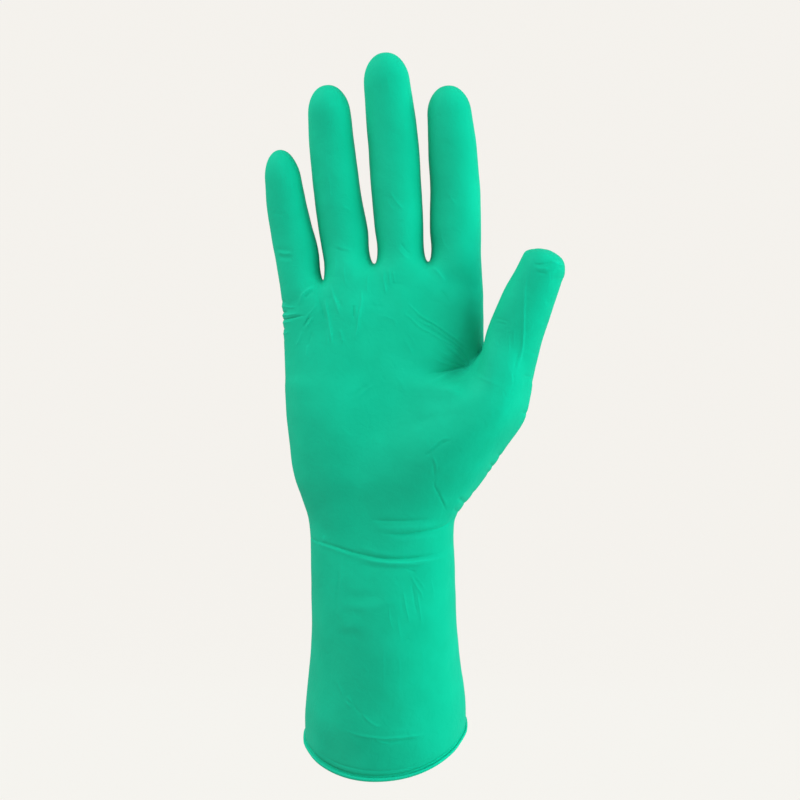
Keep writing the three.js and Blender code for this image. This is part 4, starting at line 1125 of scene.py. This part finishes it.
def fold_field(flat, folds, margin):
    """Heights of all folds at points of a plane, and how sharply they bend the film within a margin of each.

    Across a fold the height follows fold_profile, a sharp crest with hollow flanks, and it dies away towards
    the fold's two ends. Where folds cross, the deepest and the highest add. The bend is twice the height over
    the square of the reach, in radians a millimetre."""
    high = np.zeros(len(flat))
    low = np.zeros(len(flat))
    bend = np.zeros(len(flat))
    for height, left, right, course in folds:
        curve = spline(np.array(course, float), COURSE_STEPS)
        reach = FOLD_SPAN * max(left, right) + margin
        box = np.all((flat > curve.min(0) - reach) & (flat < curve.max(0) + reach), 1)
        index = np.flatnonzero(box)
        if not len(index):
            continue
        here = flat[index][:, None]
        start, end = curve[:-1], curve[1:]
        span = end - start
        length = np.linalg.norm(span, axis=1)
        t = np.clip(np.sum((here - start) * span, -1) / length**2, 0, 1)
        gap = here - start - t[..., None] * span
        distance = np.linalg.norm(gap, axis=-1)
        nearest = np.argmin(distance, 1)
        pick = np.arange(len(index)), nearest
        turn = span[nearest, 0] * gap[pick][:, 1] - span[nearest, 1] * gap[pick][:, 0]
        width = np.where(turn > 0, left, right)
        along = (np.concatenate([[0], np.cumsum(length)])[nearest] + t[pick] * length[nearest]) / length.sum()
        ends = ease(along / FOLD_END) * ease((1 - along) / FOLD_END)
        fade = mix(FOLD_END_SLACK, 1, ends) * ends
        bell = height * fade * fold_profile(distance[pick] / width)
        high[index] = np.maximum(high[index], bell)
        low[index] = np.minimum(low[index], bell)
        near = np.maximum(distance[pick] - margin, 0) / width
        bend[index] = np.maximum(bend[index], 2 * abs(height) / width**2 * fade * fold_profile(near))
    return high + low, bend


def joint_folds():
    """Short wrinkles across the back of the finger joints: three valleys a joint, the middle one longest."""
    made = []
    for x, z, wide in zip(*JOINT_CREASES.values()):
        for offset, height, share in JOINT_WRINKLES:
            end, side = wide * share, z + WRINKLE_CLOSE * offset
            course = (x - end, side), (x, z + offset), (x + end, side)
            made.append((height, WRINKLE_REACH, WRINKLE_REACH, course))
    return made


def seen_from_eye(points):
    """The places on the plane y = 0 behind which the camera sees the points."""
    away = (points[:, 1] - EYE[1]) / -EYE[1]
    return EYE[[0, 2]] + (points[:, [0, 2]] - EYE[[0, 2]]) / away[:, None]


def press_folds(points, normals, strength, margin=0.0):
    """How far the folds move each point along its normal, in millimetres, and how sharply they bend the film
    within a margin of it."""
    in_front = ease((FRONT_TURN - normals[:, 1]) / TURN_FADE)
    behind = ease((normals[:, 1] - BACK_TURN) / TURN_FADE)
    front, front_bend = fold_field(seen_from_eye(points), FRONT_FOLDS, margin)
    back, back_bend = fold_field(points[:, [0, 2]], (*BACK_FOLDS, *joint_folds()), margin)
    field = front * in_front + back * behind
    field = np.where(field < 0, VALLEY_SOFT * np.tanh(field / VALLEY_SOFT), field)
    return field * strength, np.maximum(front_bend * in_front, back_bend * behind) * strength


def swell_field(points, normals):
    """How far the broad swells move each point along its normal: the sum of height exp(-dx^2 - dz^2), with dx
    and dz in shares of the reach, over the film that faces the viewer."""
    across, up = seen_from_eye(points).T
    total = np.zeros(len(points))
    for x, z, reach_x, reach_z, height in zip(*SWELLS.values()):
        total += height * np.exp(-(((across - x) / reach_x) ** 2) - ((up - z) / reach_z) ** 2)
    return total * ease(-normals[:, 1] / SWELL_TURN)


def ripples(points):
    """The film's slight unevenness: waves in five directions, each less than a tenth of a millimetre."""
    total = np.zeros(len(points))
    for x, y, z, length, height, phase in zip(*RIPPLES.values()):
        total += height * np.sin(2 * math.pi * (points @ np.array([x, y, z])) / length + phase)
    return total


def refine(skin, edge, sizes):
    """Splits faces where the film is round or the folds bend it, and more often where they bend it more."""
    size = sizes.row_step / MM / 2**sizes.levels
    for turn, limit in enumerate(SPLITS):
        bend = press_folds(skin.points, skin.normals, sizes.fold_strength, SPLIT_MARGIN * size)[1][skin.faces]
        height = above_hem(skin.points, edge)[skin.faces]
        chosen = np.max(bend, 1) * size > limit
        if turn == 0:
            corners = skin.normals[skin.faces]
            middle = corners.sum(1)
            middle /= np.linalg.norm(middle, axis=1, keepdims=True)
            own = np.min(np.sum(corners * middle[:, None], -1), 1)
            chosen |= (own < SPLIT_ROUND) | (np.max(height, 1) < SPLIT_HEM)
        skin.split(chosen & (np.min(height, 1) > SPLIT_CLEAR))
        size /= 2


def build_film(sizes):
    """The whole film in metres: points, faces, and the height of the folds at each point, raised along the
    rolled bead; the colour that follows it paints shade into the valleys and the groove above the bead, and
    highlights onto the crests and the bead.
    """
    cage, hem = build_cage(sizes)
    inner, inner_faces = inner_wall(cage, sizes)
    bead = add_bead(cage, hem, sizes)
    edge = cage.points[hem]
    skin = Skin(*subdivide(cage.points, cage.faces, sizes.levels))
    rim = open_rim(skin.faces, skin.points, bead[-1, 0])
    refine(skin, edge, sizes)
    field = press_folds(skin.points, skin.normals, sizes.fold_strength)[0]
    height = above_hem(skin.points, edge)
    above = ease((height - PRESS_FROM) / PRESS_RISE)
    broad = swell_field(skin.points, skin.normals) * above
    field = (field + ripples(skin.points)) * above
    field -= HEM_GROOVE * np.exp(-(((height - HEM_GROOVE_AT) / HEM_GROOVE_REACH) ** 2))
    press = np.maximum(field + broad, -PRESS_DEEPEST)
    outer = skin.points + skin.normals * press[:, None]
    faces = gather(skin.polygons(), inner_faces + len(outer), join_loops(rim, hem + len(outer)))
    # Fold valleys and the groove above the bead take painted shade, crests and the rolled bead a painted
    # highlight.
    tone = np.maximum(field, BEAD_HIGHLIGHT * ease(-height / sizes.bead_radius * MM))
    heights = np.concatenate([tone, np.zeros(len(inner))])
    return np.vstack([outer, inner]) * MM, faces, heights


def above_hem(points, hem):
    """How high each point is above the film's lower edge in its direction from the middle of the mouth."""
    angle = np.arctan2(hem[:, 1], hem[:, 0])
    order = np.argsort(angle)
    here = np.arctan2(points[:, 1], points[:, 0])
    return points[:, 2] - np.interp(here, angle[order], hem[order, 2], period=2 * math.pi)


def inner_wall(cage, sizes):
    """The inner wall: the cage moved in by the film's thickness along evened normals, and turned round."""
    pairs = edge_pairs(cage.faces)
    normals = point_normals(cage.points, cage.faces)
    for _ in range(sizes.even_turns):
        normals = normals + neighbour_mean(normals, pairs)
        normals /= np.linalg.norm(normals, axis=1, keepdims=True)
    return cage.points - normals * sizes.thickness / MM, cage.faces[:, ::-1]


def open_rim(faces, points, first):
    """The points round the one open edge of the surface, anticlockwise seen from above, from the first."""
    edges = np.stack([faces, np.roll(faces, -1, 1)], -1).reshape(-1, 2)
    key = edges[:, 0] * len(points) + edges[:, 1]
    back = edges[:, 1] * len(points) + edges[:, 0]
    rim = np.unique(edges[~np.isin(key, back)])
    rim = rim[np.argsort(np.arctan2(points[rim, 1], points[rim, 0]))]
    return np.roll(rim, -int(np.flatnonzero(rim == first)[0]))


def join_loops(fine, coarse):
    """Three-cornered faces from a fine loop to a coarse one, each of whose edges faces several of the first
    loop's edges."""
    share = len(fine) // len(coarse)
    a = fine[(np.arange(len(coarse))[:, None] * share + np.arange(share + 1)) % len(fine)]
    c, d = coarse, np.roll(coarse, -1)
    half = share // 2
    made = [np.stack([a[:, i + 1], a[:, i], c if i < half else d], -1) for i in range(share)]
    made.append(np.stack([a[:, half], c, d], -1))
    return np.concatenate(made)


class GloveSizes(bpy.types.PropertyGroup):
    """Sizes of the glove's film."""

    thickness: bpy.props.FloatProperty(
        name="Film thickness", description="Between its two walls", default=0.0012, unit="LENGTH"
    )
    bead_radius: bpy.props.FloatProperty(
        name="Bead radius", description="Of the rolled hem", default=0.001, unit="LENGTH"
    )
    bead_inset: bpy.props.FloatProperty(
        name="Bead inset",
        description="From the outer wall in to the middle of the roll",
        default=0.0003,
        unit="LENGTH",
    )
    row_step: bpy.props.FloatProperty(
        name="Row step", description="Height between rows of the cage", default=0.0046, unit="LENGTH"
    )
    levels: bpy.props.IntProperty(name="Levels", description="Times that the cage is subdivided", default=1)
    relax_turns: bpy.props.IntProperty(name="Web turns", description="How far the webs settle", default=6)
    even_turns: bpy.props.IntProperty(name="Even turns", description="How even the inner wall is", default=2)
    fold_strength: bpy.props.FloatProperty(
        name="Fold strength", description="Share of the folds' full height", default=1.0, subtype="FACTOR"
    )


class NitrileLook(bpy.types.PropertyGroup):
    """Colours and finish of the nitrile."""

    colour: bpy.props.FloatVectorProperty(
        name="Colour",
        description="Of the film",
        default=(0.014, 0.41, 0.242),
        size=3,
        subtype="COLOR",
        min=0,
        max=1,
    )
    # Lighter colour on the crests of the folds and on the rolled bead: partly film thinned by stretching,
    # partly a painted highlight.
    stretch_and_highlight_colour: bpy.props.FloatVectorProperty(
        name="Stretched colour",
        description="Of the film where it is stretched or creased outwards",
        default=(0.018, 0.5, 0.31),
        size=3,
        subtype="COLOR",
        min=0,
        max=1,
    )
    # Darker colour in the valleys of the folds and the groove above the bead: painted shade.
    crease_shade_colour: bpy.props.FloatVectorProperty(
        name="Deep colour",
        description="Of the film in the valleys of its folds",
        default=(0.03, 0.3, 0.165),
        size=3,
        subtype="COLOR",
        min=0,
        max=1,
    )
    roughness: bpy.props.FloatProperty(
        name="Roughness", description="Of the satin film", default=0.5, subtype="FACTOR"
    )


class StageSizes(bpy.types.PropertyGroup):
    """Sizes and lights of the stage."""

    floor_drop: bpy.props.FloatProperty(
        name="Floor drop", description="From the glove's origin to the floor", default=0.16, unit="LENGTH"
    )
    floor_radius: bpy.props.FloatProperty(
        name="Floor radius", description="Of the flat part of the floor", default=2.2, unit="LENGTH"
    )
    floor_colour: bpy.props.FloatVectorProperty(
        name="Floor colour",
        description="Of floor and backdrop",
        default=(0.913, 0.884, 0.844),
        size=3,
        subtype="COLOR",
    )
    glow: bpy.props.FloatProperty(name="Backdrop glow", description="Evens out the backdrop", default=0.99)
    light_power: bpy.props.FloatProperty(
        name="Light power", description="Share of each light's power", default=1.0
    )
    world_light: bpy.props.FloatProperty(
        name="Surrounding light", description="Strength of the even light", default=0.64
    )
    camera_distance: bpy.props.FloatProperty(
        name="Camera distance", description="From the glove's origin", default=1.4, unit="LENGTH"
    )
    camera_lens: bpy.props.FloatProperty(name="Camera lens", description="Focal length in mm", default=159.5)


def add_node(tree, kind, **values):
    """A node of a tree, with the given properties and input values set."""
    node = tree.nodes.new(kind)
    for key, value in values.items():
        if key in node.inputs:
            node.inputs[key].default_value = value
        else:
            setattr(node, key, value)
    return node


def nitrile_material(look):
    """Satin green film: colour by how the film is folded, with painted shade in the valleys of the folds and
    a lighter colour on their crests that is partly stretched film and partly painted highlight, and by soft
    mottling, with grain and crinkle.
    """
    material = bpy.data.materials.new("nitrile")
    material.use_nodes = True
    tree = material.node_tree
    tree.nodes.clear()
    link = tree.links.new
    output = add_node(tree, "ShaderNodeOutputMaterial")
    shader = add_node(tree, "ShaderNodeBsdfPrincipled")
    shader.inputs["Roughness"].default_value = look.roughness
    shader.inputs["IOR"].default_value = FILM_IOR
    shader.inputs["Specular IOR Level"].default_value = FILM_SHINE
    shader.inputs["Specular Tint"].default_value = FILM_SHINE_TINT
    link(shader.outputs["BSDF"], output.inputs["Surface"])
    place = add_node(tree, "ShaderNodeTexCoord").outputs["Object"]

    fold = add_node(tree, "ShaderNodeAttribute", attribute_name="fold").outputs["Fac"]
    folded = add_node(tree, "ShaderNodeMapRange", **FOLD_RANGE)
    link(fold, folded.inputs["Value"])
    # The ramp paints shade into the fold valleys and a highlight onto the crests.
    tone = add_node(tree, "ShaderNodeValToRGB")
    tone.color_ramp.elements[0].color = (*look.crease_shade_colour, 1)
    tone.color_ramp.elements[1].color = (*look.stretch_and_highlight_colour, 1)
    middle = tone.color_ramp.elements.new(0.5)
    middle.color = (*look.colour, 1)
    link(folded.outputs["Result"], tone.inputs["Fac"])

    mottle = add_node(tree, "ShaderNodeTexNoise", **MOTTLE)
    link(place, mottle.inputs["Vector"])
    mottled = add_node(tree, "ShaderNodeHueSaturation")
    shade = add_node(tree, "ShaderNodeMapRange", **MOTTLE_RANGE)
    link(mottle.outputs["Fac"], shade.inputs["Value"])
    link(shade.outputs["Result"], mottled.inputs["Value"])
    link(tone.outputs["Color"], mottled.inputs["Color"])
    link(mottled.outputs["Color"], shader.inputs["Base Color"])

    grain = add_node(tree, "ShaderNodeTexNoise", **GRAIN)
    link(place, grain.inputs["Vector"])
    crinkle = add_node(tree, "ShaderNodeTexNoise", **CRINKLE)
    link(place, crinkle.inputs["Vector"])
    coarse = add_node(tree, "ShaderNodeBump", **CRINKLE_BUMP)
    link(crinkle.outputs["Fac"], coarse.inputs["Height"])
    fine = add_node(tree, "ShaderNodeBump", **GRAIN_BUMP)
    link(grain.outputs["Fac"], fine.inputs["Height"])
    link(coarse.outputs["Normal"], fine.inputs["Normal"])
    link(fine.outputs["Normal"], shader.inputs["Normal"])
    return material


def stage_material(stage):
    """Matt pale paper that glows a little, so that floor and backdrop keep one tone."""
    material = bpy.data.materials.new("backdrop_paper")
    material.use_nodes = True
    shader = material.node_tree.nodes["Principled BSDF"]
    shader.inputs["Base Color"].default_value = (*[PAPER * part for part in stage.floor_colour], 1)
    shader.inputs["Roughness"].default_value = PAPER_ROUGHNESS
    shader.inputs["Specular IOR Level"].default_value = PAPER_SHINE
    shader.inputs["Emission Color"].default_value = (*stage.floor_colour, 1)
    shader.inputs["Emission Strength"].default_value = stage.glow
    return material


def bowl_points(stage):
    """The floor, turned round the vertical: flat, then a quarter circle up into a wall."""
    bend = np.radians(np.linspace(0, 90, BOWL_BEND_RINGS + 1))[1:]
    flat = np.linspace(BOWL_CENTRE, 1, BOWL_FLAT_RINGS) * stage.floor_radius
    wall = stage.floor_radius + BOWL_BEND
    radius = np.concatenate([flat, stage.floor_radius + BOWL_BEND * np.sin(bend), [wall]])[:, None]
    height = np.concatenate([0 * flat, BOWL_BEND * (1 - np.cos(bend)), [BOWL_RIM]])[:, None]
    height = height - stage.floor_drop
    angle = np.linspace(0, 2 * math.pi, BOWL_AROUND, endpoint=False)
    return np.stack([radius * np.cos(angle), radius * np.sin(angle), height + 0 * angle], -1)


class GLOVE_OT_film(bpy.types.Operator):
    """Build the glove's film with its folds and rolled hem"""

    bl_idname = "glove.film"
    bl_label = "Build the film"
    bl_options = {"REGISTER", "UNDO"}

    def execute(self, context):
        scene = context.scene
        points, faces, heights = build_film(scene.glove_sizes)
        mesh = make_mesh("nitrile_film", points, faces)
        # The fold attribute sets the painted crease shade and the painted highlight on crests and bead.
        mesh.attributes.new("fold", "FLOAT", "POINT").data.foreach_set("value", heights.astype(np.float32))
        if mesh.validate():
            raise RuntimeError("the film's mesh has faulty faces")
        mesh.materials.append(nitrile_material(scene.nitrile_look))
        film = bpy.data.objects.new("nitrile_film", mesh)
        scene.collection.objects.link(film)
        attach(film, "root")
        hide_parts("glove_film")
        return {"FINISHED"}


class GLOVE_OT_stage(bpy.types.Operator):
    """Build the floor, the lights and the camera"""

    bl_idname = "glove.stage"
    bl_label = "Build the stage"
    bl_options = {"REGISTER", "UNDO"}

    def execute(self, context):
        scene = context.scene
        stage = scene.glove_stage
        grid = bowl_points(stage)
        numbers = np.arange(grid.size // 3).reshape(grid.shape[:2])
        low, high = numbers[:-1], numbers[1:]
        quads = np.stack([low, np.roll(low, -1, 1), np.roll(high, -1, 1), high], -1).reshape(-1, 4)
        centre = np.array([[0, 0, -stage.floor_drop]])
        cap = np.stack([numbers[0], np.roll(numbers[0], -1), np.full(numbers.shape[1], grid.size // 3)], -1)
        mesh = make_mesh("floor", np.vstack([grid.reshape(-1, 3), centre]), gather(quads[:, ::-1], cap))
        mesh.materials.append(stage_material(stage))
        floor = bpy.data.objects.new("floor", mesh)
        scene.collection.objects.link(floor)
        floor.visible_diffuse = floor.visible_glossy = floor.visible_shadow = False
        for name, azimuth, rise, power, red, green, blue in LIGHTS:
            self.add_light(scene, name, azimuth, rise, power * stage.light_power, (red, green, blue))
        world = bpy.data.worlds.new("studio")
        world.use_nodes = True
        world.node_tree.nodes["Background"].inputs["Color"].default_value = WORLD_COLOUR
        world.node_tree.nodes["Background"].inputs["Strength"].default_value = stage.world_light
        scene.world = world
        scene.view_settings.view_transform = "Standard"
        camera = bpy.data.cameras.new("camera")
        camera.lens = stage.camera_lens
        camera.sensor_width = SENSOR
        camera.clip_start, camera.clip_end = CLIP
        holder = bpy.data.objects.new("camera", camera)
        holder.location = (EYE[0] * MM, -stage.camera_distance, EYE[2] * MM)
        holder.rotation_euler = (math.pi / 2, 0, 0)
        scene.collection.objects.link(holder)
        scene.camera = holder
        return {"FINISHED"}

    def add_light(self, scene, name, azimuth, rise, power, colour):
        """A square soft light seen from the glove at an azimuth from the camera's and a rise, in degrees."""
        azimuth, rise = math.radians(azimuth), math.radians(rise)
        light = bpy.data.lights.new(name, "AREA")
        light.shape = "SQUARE"
        light.size = LIGHT_SIZE
        light.energy = power
        light.color = colour
        holder = bpy.data.objects.new(name, light)
        level = math.cos(rise)
        away = np.array([math.sin(azimuth) * level, -math.cos(azimuth) * level, math.sin(rise)])
        holder.location = LIGHT_TARGET + LIGHT_DISTANCE * away
        holder.rotation_euler = (math.pi / 2 - rise, 0, azimuth)
        scene.collection.objects.link(holder)


class GLOVE_PT_panel(bpy.types.Panel):
    """The glove's sizes and its operators"""

    bl_idname = "GLOVE_PT_panel"
    bl_label = "Nitrile glove"
    bl_space_type = "VIEW_3D"
    bl_region_type = "UI"
    bl_category = "Glove"

    def draw(self, context):
        scene = context.scene
        for group in (scene.glove_sizes, scene.nitrile_look, scene.glove_stage):
            box = self.layout.box()
            for key in group.bl_rna.properties.keys():
                if key not in {"rna_type", "name"}:
                    box.prop(group, key)
        for operator in OPERATORS:
            self.layout.operator(operator.bl_idname)


GROUPS = {"glove_sizes": GloveSizes, "nitrile_look": NitrileLook, "glove_stage": StageSizes}
OPERATORS = (GLOVE_OT_film, GLOVE_OT_stage)


def register():
    for cls in (*GROUPS.values(), *OPERATORS, GLOVE_PT_panel):
        bpy.utils.register_class(cls)
    for name, cls in GROUPS.items():
        setattr(bpy.types.Scene, name, bpy.props.PointerProperty(type=cls))


def unregister():
    for name in GROUPS:
        delattr(bpy.types.Scene, name)
    for cls in (GLOVE_PT_panel, *OPERATORS, *GROUPS.values()):
        bpy.utils.unregister_class(cls)


def main():
    register()
    bpy.ops.glove.film()
    bpy.ops.glove.stage()


if __name__ == "__main__":
    main()
